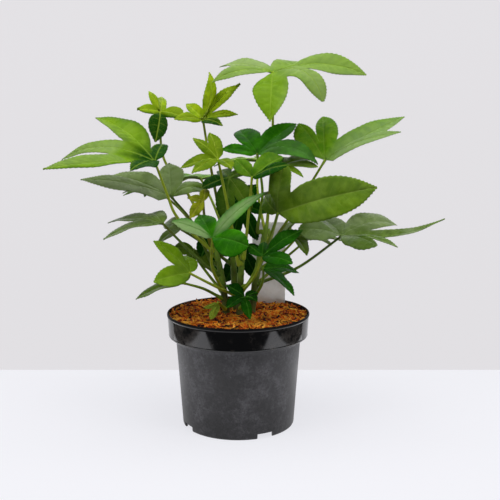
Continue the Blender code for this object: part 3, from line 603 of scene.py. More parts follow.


# A lobe's tint, and a leaf's heart where its lobes meet, are painted light: below 0 painted shade, above 0
# painted sheen
leaves = {
    "leaf_01": leafOn("cane_right", 254, [(43, 26, 325), (46, 36, 385)], (45, 10, 466), 0.2, "bright", [
        lobe(-5, -70, -62, width=0.26, peak=0.28, tint=-0.1),
        lobe(62, -44, -38, width=0.2, arch=0.22, bend=0.1, blunt=1, tint=0.45),
        lobe(120, -6, -4, width=0.18, arch=0.11, roll=24, blunt=0.5, tint=0.25),
        lobe(52, 60, 16, width=0.25, arch=0.02, cut=0.2, tint=0.2),
        lobe(-70, 42, 9, width=0.2, arch=0.08, blunt=0.5, tint=0.6),
        lobe(-78, -8, -13, width=0.16, arch=0.12, roll=-15, tint=0.3)], cut=0.4, heart=0),
    "leaf_02": leafOn("cane_left", 236, [(-77, -22, 280), (-90, -28, 312)],
                      (-104, -35, 354), 0.18, "bright", [
        lobe(6, 48, 20, width=0.2, tint=-1.2), lobe(-84, 60, 54, width=0.23, bend=-0.02, blunt=0.4),
        lobe(-126, 40, 0, width=0.095, arch=0.14, roll=-12, blunt=0.5, tint=0.35),
        lobe(-132, -38, -7, width=0.11, arch=0.03, roll=-8, tint=0.2),
        lobe(-24, -50, -8, width=0.36, tint=-1.3)], heart=-1.6),
    "leaf_03": leafOn("cane_left", 248, [(-66, 46, 300), (-104, 74, 352)], (-105, 50, 416), 0.3, "lime", [
        lobe(-2, 40, 20, width=0.14), lobe(-16, 8, 27, width=0.22), lobe(-29, -12, 3, width=0.3),
        lobe(-4, -32, -40, width=0.46, blunt=0.4, tint=-1.7), lobe(34, -16, -9, width=0.36, tint=-0.4)]),
    "leaf_04": leafOn("cane_back", 254, [(-36, 24, 340)], (-46, 15, 406), 0.16, "lime", [
        lobe(27, -32, -8, tint=-1), lobe(46, -6, 6, tint=-0.4), lobe(48, 20, 46),
        lobe(8, 12, 60, width=0.15, bend=-0.14), lobe(-24, 34, 20),
        lobe(-36, -16, 0, width=0.24, tint=-0.5)], cut=0.3),
    "leaf_05": leafOn("cane_front", 222, [(-11, -42, 290)], (-24, -46, 357), 0.24, "lime", [
        lobe(-12, 34, 32, width=0.2), lobe(-32, 12, 26), lobe(-46, -12, -10), lobe(-30, -42, -14),
        lobe(18, -34, -10)], tint=-0.6),
    "leaf_06": leafOn("cane_right", 260, [(32, -2, 310)], (25, -5, 362), 0.28, "deep", [
        lobe(78, -12, -12, width=0.2, arch=0.25, tint=0.15), lobe(52, 30, 38, width=0.24),
        lobe(-24, 52, 29, width=0.36, blunt=0.9), lobe(-47, 8, 5, width=0.2)]),
    "leaf_07": leafOn("cane_right", 238, [(74, -8, 290)], (112, -10, 354), 0.22, "fresh", [
        lobe(92, -28, 37, width=0.1, arch=0.08, tint=0.5),
        lobe(108, 38, 55, width=0.15, arch=0.03, tint=0.4),
        lobe(2, 62, 55, width=0.32, blunt=0.7, tint=-0.2),
        lobe(-32, 36, 46, width=0.32, blunt=0.5, tint=-0.1)]),
    "leaf_08": leafOn("cane_front", 190, [(24, -26, 215), (41, -30, 256)], (50, -60, 291), 0.24, "olive", [
        lobe(120, -18, 34, width=0.215, cut=0.5, bend=0.005, blunt=0.4),
        lobe(8, 10, 61, width=0.34, blunt=1, tint=-0.1), lobe(-16, 38, 18, tint=-0.4)]),
    "leaf_09": leafOn("cane_right", 190, [(80, -14, 215)], (134, -20, 257), 0.2, "grey", [
        lobe(39, -50, -5, width=0.36, roll=35, blunt=0.8, tint=-0.3),
        lobe(66, -42, -8, cut=0.3, blunt=0.5, tint=-0.1), lobe(131, -8, 23, width=0.075, arch=-0.08),
        lobe(80, 50, 8, width=0.24, arch=0.12, roll=20, blunt=0.5, tint=0.3), lobe(-24, 60, 15, tint=-0.3),
        lobe(-56, 0, 8, width=0.4, roll=-40, blunt=0.8, tint=-0.2)]),
    "leaf_10": leafOn("cane_left", 218, [(-60, 6, 270)], (-88, 14, 304), 0.2, "grey", [
        lobe(50, 2, 4, width=0.3, arch=0.3, tint=-0.1), lobe(-8, 50, 42, width=0.3, tint=-0.1),
        lobe(-90, 46, 24, tint=0.4), lobe(-119, -4, 23, width=0.15, tint=0.5)]),
    "leaf_11": leafOn("cane_left", 204, [(-66, -18, 240)], (-96, -30, 275), 0.22, "grey", [
        lobe(-22, 52, 6), lobe(-76, 34, -4), lobe(-72, -26, -17, width=0.2)]),
    "leaf_12": leafOn("cane_back", 214, [(-50, 34, 240)], (-78, 40, 257), 0.24, "grey", [
        lobe(-26, 40, 4), lobe(-34, -6, -22)]),
    "leaf_13": leafOn("cane_front", 176, [(-34, -44, 198)], (-60, -60, 216), 0.28, "bright", [
        lobe(-7, 40, 15), lobe(-46, 12, 38, width=0.36, blunt=0.5),
        lobe(-42, -30, -6, width=0.34, blunt=0.4)]),
    "leaf_14": leafOn("cane_left", 172, [(-46, -14, 186)], (-70, -25, 196), 0.22, "olive", [
        lobe(-2, 40, 2), lobe(-40, 36, 0), lobe(-62, -10, -20, width=0.27)]),
    "leaf_15": leafOn("cane_left", 186, [(-33, -44, 222)], (-30, -92, 265), 0.26, "deep", [
        lobe(44, -28, -6, width=0.42, roll=35, blunt=0.9, tint=-0.45),
        lobe(64, 25, 53, width=0.13, tint=0.6), lobe(-17, 45, 22, tint=-0.5),
        lobe(-48, -5, 21, tint=0.6)], stalk="lime"),
    "leaf_16": leafOn("cane_front", 230, [(14, -46, 290)], (18, -62, 336), 0.3, "fresh", [
        lobe(45, -22, 17, width=0.2, tint=-1.8), lobe(39, 16, 24, width=0.36, blunt=0.9, tint=-0.2),
        lobe(-20, 9, 21, width=0.4, blunt=0.6, tint=-0.2)], stalk="bright"),
    "leaf_17": leafOn("cane_back_right", 244, [(60, 8, 316)], (57, -25, 348), 0.3, "bright", [
        lobe(26, -12, -14, width=0.26), lobe(46, 8, -2, width=0.3, roll=25, blunt=0.5, tint=0.2),
        lobe(40, 40, 4), lobe(-6, 42, 8)]),
    "leaf_18": leafOn("cane_back", 256, [(-12, 0, 300)], (-11, -10, 331), 0.28, "olive", [
        lobe(21, 20, 6, tint=-0.6), lobe(-12, 32, 8, tint=-0.6),
        lobe(-34, -8, -12, width=0.46, blunt=1, tint=-1.2), lobe(-4, -24, -60, width=0.3, tint=-0.6),
        lobe(28, -16, -42, tint=-0.4)]),
    "leaf_19": leafOn("cane_left", 244, [(-43, -18, 280)], (-44, -28, 303), 0.26, "ochre", [
        lobe(2, 20, 14), lobe(-20, 2, 4), lobe(-16, -18, -20)]),
    "leaf_20": leafOn("cane_front", 184, [(22, -50, 210)], (31, -75, 239), 0.26, "deep", [
        lobe(36, -26, -3, width=0.3, blunt=0.5), lobe(50, 10, 32, width=0.36), lobe(2, 24, 15, width=0.36),
        lobe(-16, 4, 13, width=0.46, blunt=0.6)], tint=-0.75, stalk="lime"),
    "leaf_21": leafOn("cane_right", 176, [(32, -30, 198)], (33, -50, 220), 0.18, "deep", [
        lobe(37, -35, -28), lobe(46, 25, -11)], tint=-0.7),
    "leaf_22": leafOn("cane_front", 162, [], (9, -40, 180), 0.36, "deep", [
        lobe(-24, 8, 14, width=0.4), lobe(-22, -22, -9, width=0.42, blunt=0.6),
        lobe(7, -34, -20, blunt=0.5, tint=-0.7), lobe(16, -20, -1), lobe(17, 15, 3)], tint=-1),
    "leaf_23": leafOn("cane_left", 158, [], (-26, -30, 170), 0.3, "lime", [
        lobe(-9, -26, -15, width=0.15), lobe(-18, -14, -3, width=0.14)]),
    "leaf_24": leafOn("cane_back_right", 206, [(62, 44, 226)], (79, 45, 244), 0.26, "olive", [
        lobe(13, -30, -19), lobe(21, 30, 4)]),
    "leaf_25": leafOn("cane_back_right", 232, [(62, 50, 250)], (79, 50, 268), 0.26, "grey", [
        lobe(-18, -30, -12), lobe(46, -5, 20), lobe(12, 36, 8)]),
    "leaf_26": leafOn("cane_back", 238, [(-36, 70, 290)],
                      (-54, 98, 322), 0.2, "fresh", fan(112, 84, 5, 0.12)),
    "leaf_27": leafOn("cane_back_right", 248, [(26, 84, 310)],
                      (30, 110, 345), 0.2, "bright", fan(80, 84, 5, 0.1)),
    "leaf_28": leafOn("cane_back_right", 218, [(70, 58, 246)],
                      (70, 102, 300), 0.2, "olive", fan(50, 72, 5, 0.2)),
    "leaf_29": leafOn("cane_back", 222, [(-4, 62, 262)], (4, 58, 290), 0.3, "deep", [
        lobe(-16, 8, 26), lobe(-28, -4, -16), lobe(-14, -2, -54, blunt=0.6), lobe(22, -4, -50, blunt=0.6),
        lobe(34, -2, -12), lobe(20, 8, 26)], tint=-0.9),
    "leaf_30": leafOn("cane_back", 182, [(2, 58, 208)], (4, 50, 230), 0.3, "deep", [
        lobe(-36, 12, -8), lobe(-22, -2, -48, blunt=0.6), lobe(24, 0, -44, blunt=0.6),
        lobe(28, 2, -4)], tint=-0.9),
    "leaf_31": leafOn("cane_back_right", 186, [(62, 56, 212)],
                      (98, 72, 240), 0.2, "olive", fan(40, 58, 5, 0.1)),
    "leaf_32": leafOn("cane_left", 228, [(-74, 44, 278)],
                      (-112, 70, 308), 0.2, "fresh", fan(160, 56, 5, 0.1)),
    "leaf_33": leafOn("cane_left", 190, [(-40, 42, 226)], (-36, 30, 256), 0.32, "deep", [
        lobe(-14, -8, -34, blunt=0.6), lobe(10, -12, -54, blunt=0.6), lobe(16, -6, -18)], tint=-0.9),
    "leaf_34": leafOn("cane_left", 180, [(-54, 38, 212)], (-60, 28, 231), 0.3, "olive", [
        lobe(-28, 6, 2), lobe(-6, -8, -30, blunt=0.5), lobe(22, -6, -26)], tint=-0.3),
}

# The usual form of a lobe, in shares of its length: its half width, how deep the cut beside it is, where
# it is widest, and how much it arches, folds up from its rib and ripples
leafLook = {
    "width": 0.2,
    "cut": 0.42,
    "outerCut": 0.2,
    "outerAngle": 50,   # degrees, from an outer lobe to its free margin
    "stalkRoom": 8,   # degrees that the lobes leave free beside the stalk
    "crowded": 1.2,   # half the angle between lobes, in radians, under which they share the room
    "roomShare": 0.47,
    "betweenForm": (0.22, 0.88),   # beside another lobe: where it is widest, and how wide it starts
    "peak": 0.42,
    "outerStart": 0.72,
    "blunt": 0.25,
    "arch": 0.08,
    "fold": 0.12,
    "rollRate": 1.3,
    "ripple": 0.02,
    "ripplesPerLobe": 1.25,
    "ripplePhase": (1.7, 2.1),
    "across": (0, 0.05, 0.15, 0.3, 0.46, 0.62, 0.77, 0.9, 1),   # where the points lie, from rib to margin
    "webRows": 6,
    "veinPitch": 13 * mm,
    "veinCount": (3, 9),
    "rowsPerVein": 4,
    "veinSweep": 0.55,
    "tooth": 0.85 * mm,
    "toothLean": 0.3,
    "toothlessBase": 0.06,
    "fullToothLength": 75 * mm,
    "quilt": 0.009,
    "swell": 0.06,
    "groove": 0.35 * mm,
    "waviness": 1.5 * mm,
    "waveScale": 42,
    "ribThickness": 1.7 * mm,
    "bladeShare": 0.26,   # of the rib's thickness
    "ribShare": 0.74,
    "ribReach": 0.12,
    "tipThinning": 0.75,
    "veinShare": 0.22,
    "weld": 0.05 * mm,
    # the colours of the painted shade and of the painted sheen on the leaves
    "shadedGreen": "#0C4204",
    "paintedSheenGrey": "#9AAC7A",
    "wax": "#F8FAE4",
}
stalkLook = {
    "radius": 2.3 * mm,
    "tipRadius": 1.5 * mm,
    "roundness": 3,
    "steps": 9,
    "rise": 32,   # degrees
    "clearance": 0.3 * mm,
    "leanRoom": 1.2,
    "firstLength": 6 * mm,
    "sheathRadius": 3.6 * mm,
    "sheathReach": 7 * mm,
    "kneeSwell": 0.7 * mm,
    "kneeReach": 3 * mm,
    "underBlade": 0.7 * mm,
    "pastJoint": 1.5 * mm,
    "intoCane": 0.4,   # of the cane's radius
    "sink": 2.0 * mm,
    "flush": "#707C2A",
}

# Each tone: the upper side's lighter and darker green, the veins, the underside, the stalk, how rough the
# wax is, how much it shines, and how much of the upper side carries a painted grey sheen in patches
leafTones = {
    "bright": dict(light="#789E14", dark="#68900E", vein="#94B43C", under="#7EA030", stalk="#B4C83A",
                   rough=0.26, sheen=0.05, paintedSheen=0.06),
    "lime": dict(light="#A0BC14", dark="#7E9E0C", vein="#AEC440", under="#8EA630", stalk="#B0C436",
                 rough=0.28, sheen=0.05, paintedSheen=0.00),
    "fresh": dict(light="#6E9C10", dark="#52860C", vein="#86A83C", under="#6C8E38", stalk="#9AB832",
                  rough=0.24, sheen=0.08, paintedSheen=0.06),
    "olive": dict(light="#6C8C20", dark="#567814", vein="#829A40", under="#667E38", stalk="#90AE30",
                  rough=0.24, sheen=0.08, paintedSheen=0.08),
    "deep": dict(light="#3C880A", dark="#286A08", vein="#52902A", under="#446E2A", stalk="#88AE30",
                 rough=0.22, sheen=0.06, paintedSheen=0.00),
    "grey": dict(light="#6E8C30", dark="#567420", vein="#86A058", under="#74886A", stalk="#6A862E",
                 rough=0.26, sheen=0.25, paintedSheen=0.50),
    "ochre": dict(light="#9CA618", dark="#768410", vein="#B0AC48", under="#949038", stalk="#828026",
                  rough=0.36, sheen=0.05, paintedSheen=0.00),
}
youngLeaves = {"leaf_01", "leaf_03", "leaf_04", "leaf_05", "leaf_16", "leaf_23"}


def withPaintedLight(add, green):   # a lobe's painted light: below 0 painted shade towards shaded green, above 0 a painted sheen towards grey
    tint = add("Attribute", attribute_name="tint").outputs["Fac"]
    paintedShadeShare = add("Math", [tint, -1.0], operation="MULTIPLY", use_clamp=True)
    green = add("Mix", {0: paintedShadeShare, 6: green, 7: linear(leafLook["shadedGreen"])}, data_type="RGBA")
    paintedSheenShare = add("Math", [tint, 0.0], operation="MAXIMUM")
    return add("Mix", {0: paintedSheenShare, 6: green, 7: linear(leafLook["paintedSheenGrey"])}, data_type="RGBA")


def sideVeins(add, inner, outer):   # left and right in turn, and how far out from the rib a place is
    place = add("SeparateXYZ", [add("UVMap", uv_map="veins")])
    onRight = add("Math", [place.outputs[1], 0.0], operation="LESS_THAN")
    along = add("Math", [onRight, 0.5, place.outputs[0]], operation="MULTIPLY_ADD")
    toVein = add("Math", [along, 0.5], operation="PINGPONG")
    outward = add("Math", [place.outputs[1]], operation="ABSOLUTE")
    lines = add("MapRange", [toVein, inner, outer, 0.6, 0.0], interpolation_type="SMOOTHSTEP")
    return lines, outward


def upperMaterial(tone):
    # Waxy upper side of an aralia leaf: green mottled every 14 mm, paler veins pressed in, between them a
    # net of 2.4 mm, as fine as the render can show, and a painted grey sheen in patches of 38 mm
    look = leafTones[tone]
    material, add, place = newMaterial(tone + " leaf, upper side")
    sideVein, outward = sideVeins(add, 0.01, 0.06)
    realPlace = add("SeparateXYZ", [add("UVMap", uv_map="real")])
    toRib = add("Math", [realPlace.outputs[1]], operation="ABSOLUTE")   # in cm
    rib = add("MapRange", [toRib, 0.04, 0.14, 1.0, 0.0], interpolation_type="SMOOTHSTEP")
    fade = add("MapRange", [outward, 0.3, 1.0, 1.0, 0.15])
    faded = add("Math", [sideVein, fade], operation="MULTIPLY")
    veins = add("Math", [rib, faded], operation="MAXIMUM")
    net = add("TexVoronoi", {"Vector": place, "Scale": 420}, feature="DISTANCE_TO_EDGE")
    netLine = add("ValToRGB", [net], [(0.02, 0.08), (0.12, 0.0)])
    mottle = add("TexNoise", {"Vector": place, "Scale": 70, "Detail": 5, "Roughness": 0.6})
    green = add("ValToRGB", [mottle], [(0.40, look["dark"]), (0.60, look["light"])])
    # painted sheen: grey patches standing in for the gloss that mirrors the white room
    patches = add("TexNoise", {"Vector": place, "Scale": 26, "Detail": 3})
    paintedSheen = add("ValToRGB", [patches], [(0.42, 0.0), (0.62, look["paintedSheen"])])
    green = add("Mix", {0: paintedSheen, 6: green, 7: linear(leafLook["paintedSheenGrey"])}, data_type="RGBA")
    # each lobe's painted shade and painted sheen
    green = add("Mix", {0: netLine, 6: withPaintedLight(add, green), 7: linear(look["vein"])}, data_type="RGBA")
    veinShare = add("Math", [veins, 0.4], operation="MULTIPLY")
    green = add("Mix", {0: veinShare, 6: green, 7: linear(look["vein"])}, data_type="RGBA")
    shine = add("MapRange", [mottle, 0.3, 0.7, look["rough"] - 0.06, look["rough"] + 0.10])
    fields = add("Math", [net, 0.35], operation="MULTIPLY")
    lift = add("Math", [fields, veins], operation="SUBTRACT")
    bump = add("Bump", {"Height": lift, "Strength": 0.4, "Distance": 0.35 * mm})
    return finish(material, {"Base Color": green, "Roughness": shine, "Normal": bump, "IOR": 1.45,
                             "Specular IOR Level": look["sheen"], "Specular Tint": linear(leafLook["wax"])})


def lowerMaterial(tone):
    # Underside: paler, dull, with the ribs standing out; mottled every 11 mm, with the same net
    look = leafTones[tone]
    material, add, place = newMaterial(tone + " leaf, underside")
    sideVein, outward = sideVeins(add, 0.03, 0.1)
    rib = add("MapRange", [outward, 0.03, 0.1, 0.8, 0.0], interpolation_type="SMOOTHSTEP")
    veins = add("Math", [rib, sideVein], operation="MAXIMUM")
    mottle = add("TexNoise", {"Vector": place, "Scale": 90, "Detail": 4})
    shade = add("ValToRGB", [mottle], [(0.3, 0.86), (0.7, 1.0)])
    pale = add("Mix", {0: 1.0, 6: linear(look["under"]), 7: shade}, data_type="RGBA", blend_type="MULTIPLY")
    # each lobe's painted shade and painted sheen, as on the upper side
    colour = add("Mix", {0: veins, 6: withPaintedLight(add, pale), 7: linear(look["vein"])}, data_type="RGBA")
    net = add("TexVoronoi", {"Vector": place, "Scale": 420}, feature="DISTANCE_TO_EDGE")
    bump = add("Bump", {"Height": net, "Strength": 0.15, "Distance": 0.25 * mm}, invert=True)
    return finish(material, {"Base Color": colour, "Roughness": 0.62, "Normal": bump, "IOR": 1.45,
                             "Specular IOR Level": 0.15})


def stalkMaterial(tone):
    # Leaf stalk: smooth waxy rind, green flushed with brown in places about 36 mm long, with fine lines
    # along it, 2.4 mm wide and 20 mm long
    material, add, place = newMaterial(tone + " leaf stalk")
    longWays = add("Mapping", {0: place, "Scale": (1, 1, 0.12)})
    lines = add("TexNoise", {"Vector": longWays, "Scale": 420, "Detail": 3})
    flush = add("TexNoise", {"Vector": place, "Scale": 28, "Detail": 2})
    base = add("ValToRGB", [flush], [(0.32, stalkLook["flush"]), (0.48, leafTones[tone]["stalk"])])
    streak = add("ValToRGB", [lines], [(0.3, 0.72), (0.65, 1.0)])
    colour = add("Mix", {0: 0.8, 6: base, 7: streak}, data_type="RGBA", blend_type="MULTIPLY")
    bump = add("Bump", {"Height": lines, "Strength": 0.2, "Distance": 0.2 * mm})
    return finish(material, {"Base Color": colour, "Roughness": 0.42, "Normal": bump, "IOR": 1.45,
                             "Specular IOR Level": 0.2})


toneMaterials = {tone: (upperMaterial(tone), lowerMaterial(tone), stalkMaterial(tone))
                 for tone in leafTones}


def bladeOf(leaf):   # what the lobes of one leaf share
    tips = [np.array(item["tip"], float) * mm for item in leaf["lobes"]]
    normal = unit(sum(np.cross(unit(a), unit(b)) for a, b in zip(tips, tips[1:])))
    middle = tips[len(tips) // 2]
    forward = unit(middle - np.dot(middle, normal) * normal)
    left = np.cross(normal, forward)
    angles = np.unwrap([math.atan2(np.dot(t, left), np.dot(t, forward)) for t in tips])
    stalkGap = 2 * math.pi - (angles[-1] - angles[0])
    widest, room = math.radians(leafLook["outerAngle"]), math.radians(leafLook["stalkRoom"])
    return dict(leaf=leaf, tips=tips, lengths=[np.linalg.norm(t) for t in tips], normal=normal,
                forward=forward, angles=angles, outerHalf=min(widest, stalkGap / 2 - room))


def shapeOf(blade, i, key, default):   # a lobe's own value, or its leaf's, or the default
    return blade["leaf"]["lobes"][i].get(key, blade["leaf"].get(key, default))


def ownShape(blade, i, key, default):   # a lobe's own value, or the default
    return blade["leaf"]["lobes"][i].get(key, default)


def sideOf(blade, i, step):   # one side of a lobe: where its free margin starts, its half width, its form
    look, lengths, angles = leafLook, blade["lengths"], blade["angles"]
    width = shapeOf(blade, i, "width", look["width"])
    j = i + step
    if 0 <= j < len(lengths):   # beside another lobe
        spread = abs(angles[j] - angles[i]) / 2
        reach = shapeOf(blade, min(i, j), "cut", look["cut"]) * min(lengths[i], lengths[j])
        if spread < look["crowded"]:
            width = min(width, look["roomShare"] * math.sin(spread))
        form = look["betweenForm"]
    else:
        spread = blade["outerHalf"]
        reach = look["outerCut"] * lengths[i]
        form = (ownShape(blade, i, "peak", look["peak"]), look["outerStart"])
    return reach * math.cos(spread), reach * math.sin(spread), width * lengths[i], *form


def pointOn(blade, i, u, v, lift=0.0):   # the point u along lobe i's midrib and v to its left
    look, tip, length = leafLook, blade["tips"][i], blade["lengths"][i]
    s = np.asarray(u) / length
    v = np.asarray(v)
    ahead = tip / length
    up = unit(blade["normal"] - np.dot(blade["normal"], ahead) * ahead)
    left = np.cross(up, ahead)
    arch, bend = shapeOf(blade, i, "arch", look["arch"]), ownShape(blade, i, "bend", 0)
    bow = length * 4 * (arch * up + bend * left)
    spine = s[..., None] * tip + (s * (1 - s))[..., None] * bow
    along = tip + (1 - 2 * s)[..., None] * bow
    along /= np.linalg.norm(along, axis=-1, keepdims=True)
    across = np.cross(np.broadcast_to(up, along.shape), along)
    across /= np.linalg.norm(across, axis=-1, keepdims=True)
    out = np.cross(along, across)
    roll = math.radians(ownShape(blade, i, "roll", 0)) * np.clip(look["rollRate"] * s, 0, 1)[..., None]
    across, out = across * np.cos(roll) + out * np.sin(roll), out * np.cos(roll) - across * np.sin(roll)
    width = blade["leaf"]["width"] * length
    perLobe, perSide = look["ripplePhase"]   # no two margins ripple alike
    phase = perLobe * i + np.where(v > 0, 0, perSide)
    ripple = np.sin(2 * math.pi * look["ripplesPerLobe"] * s + phase)
    wave = look["ripple"] * length * (np.abs(v) / width) ** 2 * ripple
    rise = shapeOf(blade, i, "fold", look["fold"]) * np.abs(v) + wave + lift
    return spine + v[..., None] * across + rise[..., None] * out


def marginOf(q, width, base, peak, full, blunt):   # half width along the free margin, from cut to tip
    rise = 1 - (1 - full) * ((peak - q) / peak) ** 2
    beyond = np.clip((q - peak) / (1 - peak), 0, 1)
    fall = (1 - beyond ** (1.9 + 1.6 * blunt)) ** (1.35 - 0.55 * blunt)
    return width * np.where(q < peak, rise, fall) + (base - width * full) * (1 - q) ** 4


def lobeGrid(blade, i):   # rows of points over one lobe, and where each lies among the veins
    look = leafLook
    length = blade["lengths"][i]
    veins = int(np.clip(round(length / look["veinPitch"]), *look["veinCount"]))   # on each side
    web, free = look["webRows"], veins * look["rowsPerVein"]
    row = np.arange(web + free + 1)
    q = np.clip((row - web) / free, 0, 1)   # along the free part of the lobe
    w = np.clip(row / web, 0, 1)   # along the web that joins the lobes
    ahead = q + look["veinSweep"] * q * (1 - q)
    sides = {step: sideOf(blade, i, step) for step in (1, -1)}
    ribStart = (sides[1][0] + sides[-1][0]) / 2
    rib = np.where(row <= web, ribStart * w, ribStart + (length - ribStart) * q)
    vein = (row - web) / look["rowsPerVein"]
    columns = [-t for t in look["across"][:0:-1]] + list(look["across"])
    size = (len(row), len(columns))
    points, weight, paintedLightMap = np.zeros((*size, 3)), np.zeros(size), np.zeros(size)
    veinMap, realMap = np.zeros((*size, 2)), np.zeros((*size, 2))
    # each lobe's painted light, below 0 painted shade, above 0 painted sheen, blended into the heart's near
    # the joint
    paintedLights = [item.get("tint", blade["leaf"].get("tint", 0)) for item in blade["leaf"]["lobes"]]
    heart = blade["leaf"].get("heart", np.mean(paintedLights))
    tooth = look["tooth"] * min(1, length / look["fullToothLength"])
    hasTooth = (row % 2) * (q > look["toothlessBase"])
    reach = np.clip(ahead + look["toothLean"] / free * hasTooth, 0, 1)
    blunt = ownShape(blade, i, "blunt", look["blunt"])
    for c, t in enumerate(columns):
        step = 1 if t >= 0 else -1
        share = abs(t)   # from the rib to the margin
        start, base, width, peak, full = sides[step]
        j = i + step
        shared = 0 <= j < len(blade["tips"])
        marginU = np.where(row <= web, start * w, start + (length - start) * reach)
        margin = marginOf(ahead, width, base, peak, full, blunt) + tooth * hasTooth * (q < 1)
        half = np.where(row <= web, base * w, margin)
        u = rib + (marginU - rib) * share ** 1.25
        v = t * half
        phase = vein + (0.5 if step < 0 else 0)
        between = 0.5 - 0.5 * np.cos(2 * math.pi * phase)
        puff = look["quilt"] * length * (between - 0.5) * math.sin(math.pi * share) ** 0.6 * (1 - 0.6 * q)
        swell = look["swell"] * half * math.sin(math.pi * share)
        groove = look["groove"] * (share < 0.01) * (1 - 0.5 * q)
        place = pointOn(blade, i, u, v, puff * np.minimum(1, row / web) + swell - groove)
        if shared:   # the web is drawn half way to the next lobe
            nextStart, nextBase = sideOf(blade, j, -step)[:2]
            own = pointOn(blade, i, start * w, step * base * w)
            other = pointOn(blade, j, nextStart * w, -step * nextBase * w)
            place = place + (other - own) / 2 * ((1 - ahead) ** 2)[:, None] * share ** 2
        points[:, c] = place
        veinMap[:, c, 0] = vein
        veinMap[:, c, 1] = t
        realMap[:, c, 0] = u / (10 * mm)
        realMap[:, c, 1] = v / (10 * mm)
        onVein = np.clip(1 - 4 * np.abs(phase - np.round(phase)), 0, 1) * (1 - share)
        onRib = (1 - look["tipThinning"] * q) * max(0, 1 - share / look["ribReach"])
        thick = look["bladeShare"] + look["ribShare"] * onRib + look["veinShare"] * onVein
        weight[:, c] = np.clip(thick, 0, 1)
        beside = paintedLights[j] if shared else paintedLights[i]
        paintedLightMap[:, c] = (paintedLights[i] + (beside - paintedLights[i]) * (share ** 2 / 2)) * w + heart * (1 - w)
    return points, veinMap, realMap, weight, paintedLightMap


def makeLobe(blade, i, joint):   # a flat grid laid along the rows of points
    points, veinMap, realMap, weight, paintedLightMap = lobeGrid(blade, i)
    rows, columns = points.shape[:2]
    deselectAll()
    bpy.ops.mesh.primitive_grid_add(x_subdivisions=columns - 1, y_subdivisions=rows - 1, size=2)
    part = bpy.context.active_object
    mesh = part.data
    flat = np.zeros(len(mesh.vertices) * 3)
    mesh.vertices.foreach_get("co", flat)
    flat = flat.reshape(-1, 3)
    column = np.rint((1 - flat[:, 0]) / 2 * (columns - 1)).astype(int)
    row = np.rint((flat[:, 1] + 1) / 2 * (rows - 1)).astype(int)
    mesh.vertices.foreach_set("co", (points[row, column] + joint).ravel())
    corners = np.zeros(len(mesh.loops), int)
    mesh.loops.foreach_get("vertex_index", corners)
    while mesh.uv_layers:
        mesh.uv_layers.remove(mesh.uv_layers[0])
    for mapName, values in (("veins", veinMap), ("real", realMap)):
        layer = mesh.uv_layers.new(name=mapName)
        layer.data.foreach_set("uv", values[row, column][corners].ravel())
    # the painted shade and sheen of each point, read by the leaf materials
    tint = mesh.attributes.new("tint", "FLOAT", "POINT")
    tint.data.foreach_set("value", paintedLightMap[row, column])
    group = part.vertex_groups.new(name="thick")
    for k, value in enumerate(weight[row, column]):
        group.add([k], float(value), "REPLACE")
    return part


def makeStalk(name, leaf, blade):   # from inside its cane, with a sheath, to a knee under the blade
    look = stalkLook
    joint = np.array(leaf["joint"]) * mm
    way = [np.array(p) * mm for p in leaf["way"]]
    centre, caneWidth, lean = caneAt(leaf["cane"], leaf["height"] * mm)
    aim = (way + [joint])[0] - centre
    outward = unit(np.array([aim[0], aim[1], 0]))
    rise = math.radians(look["rise"])
    backOff = look["radius"] * (math.sin(rise) + look["leanRoom"] * max(0, np.dot(lean, outward)))
    start = centre + outward * (caneWidth + look["clearance"] + backOff)
    first = start + (outward * math.cos(rise) + np.array([0, 0, math.sin(rise)])) * look["firstLength"]
    end = joint - blade["normal"] * look["underBlade"]
    path = smoothPath([start, first] + way + [end], look["steps"])
    inside = centre + outward * caneWidth * look["intoCane"] - np.array([0, 0, look["sink"]])
    path = [inside] + path + [end + blade["forward"] * look["pastJoint"]]
    steps = np.concatenate([[0], np.cumsum(np.linalg.norm(np.diff(path, axis=0), axis=1))])
    radii = look["radius"] + (look["tipRadius"] - look["radius"]) * steps / steps[-1]
    radii = radii + (look["sheathRadius"] - look["radius"]) * np.exp(-(steps / look["sheathReach"]) ** 2)
    radii = radii + look["kneeSwell"] * np.exp(-((steps[-1] - steps) / look["kneeReach"]) ** 2)
    radii[-1] *= 0.5
    return tube(name + "_stalk", path, radii, look["roundness"])


def makeLeaf(name, leaf):
    look = leafLook
    blade = bladeOf(leaf)
    joint = np.array(leaf["joint"]) * mm
    whole = joined([makeLobe(blade, i, joint) for i in range(len(leaf["lobes"]))], name + "_green")
    editAll()
    bpy.ops.mesh.remove_doubles(threshold=look["weld"])
    bpy.ops.object.mode_set(mode="OBJECT")
    seed = Vector((7.1 * leaf["height"], 0, 0))
    for vertex in whole.data.vertices:
        wave = noise.noise(vertex.co * look["waveScale"] + seed)
        vertex.co += vertex.normal * wave * look["waviness"]
    upper, lower = toneMaterials[leaf["tone"]][:2]
    stalkGreen = toneMaterials[leaf.get("stalk", leaf["tone"])][2]
    dress(whole, upper, lower, stalkGreen)
    solid = whole.modifiers.new("thickness", "SOLIDIFY")
    solid.thickness = look["ribThickness"]
    solid.offset = -1
    solid.vertex_group = "thick"
    solid.material_offset = 1
    solid.material_offset_rim = 0
    applyAll(whole)
    stalk = makeStalk(name, leaf, blade)
    dress(stalk, upper, lower, stalkGreen)
    stalk.data.polygons.foreach_set("material_index", [2] * len(stalk.data.polygons))
    whole = joined([whole, stalk], name + "_green")
    bpy.ops.object.shade_smooth()
    seat(whole, "young_leaf" if name in youngLeaves else "leaf", name)


for leafName, leafShape in leaves.items():
    makeLeaf(leafName, leafShape)
print("leaves ready")

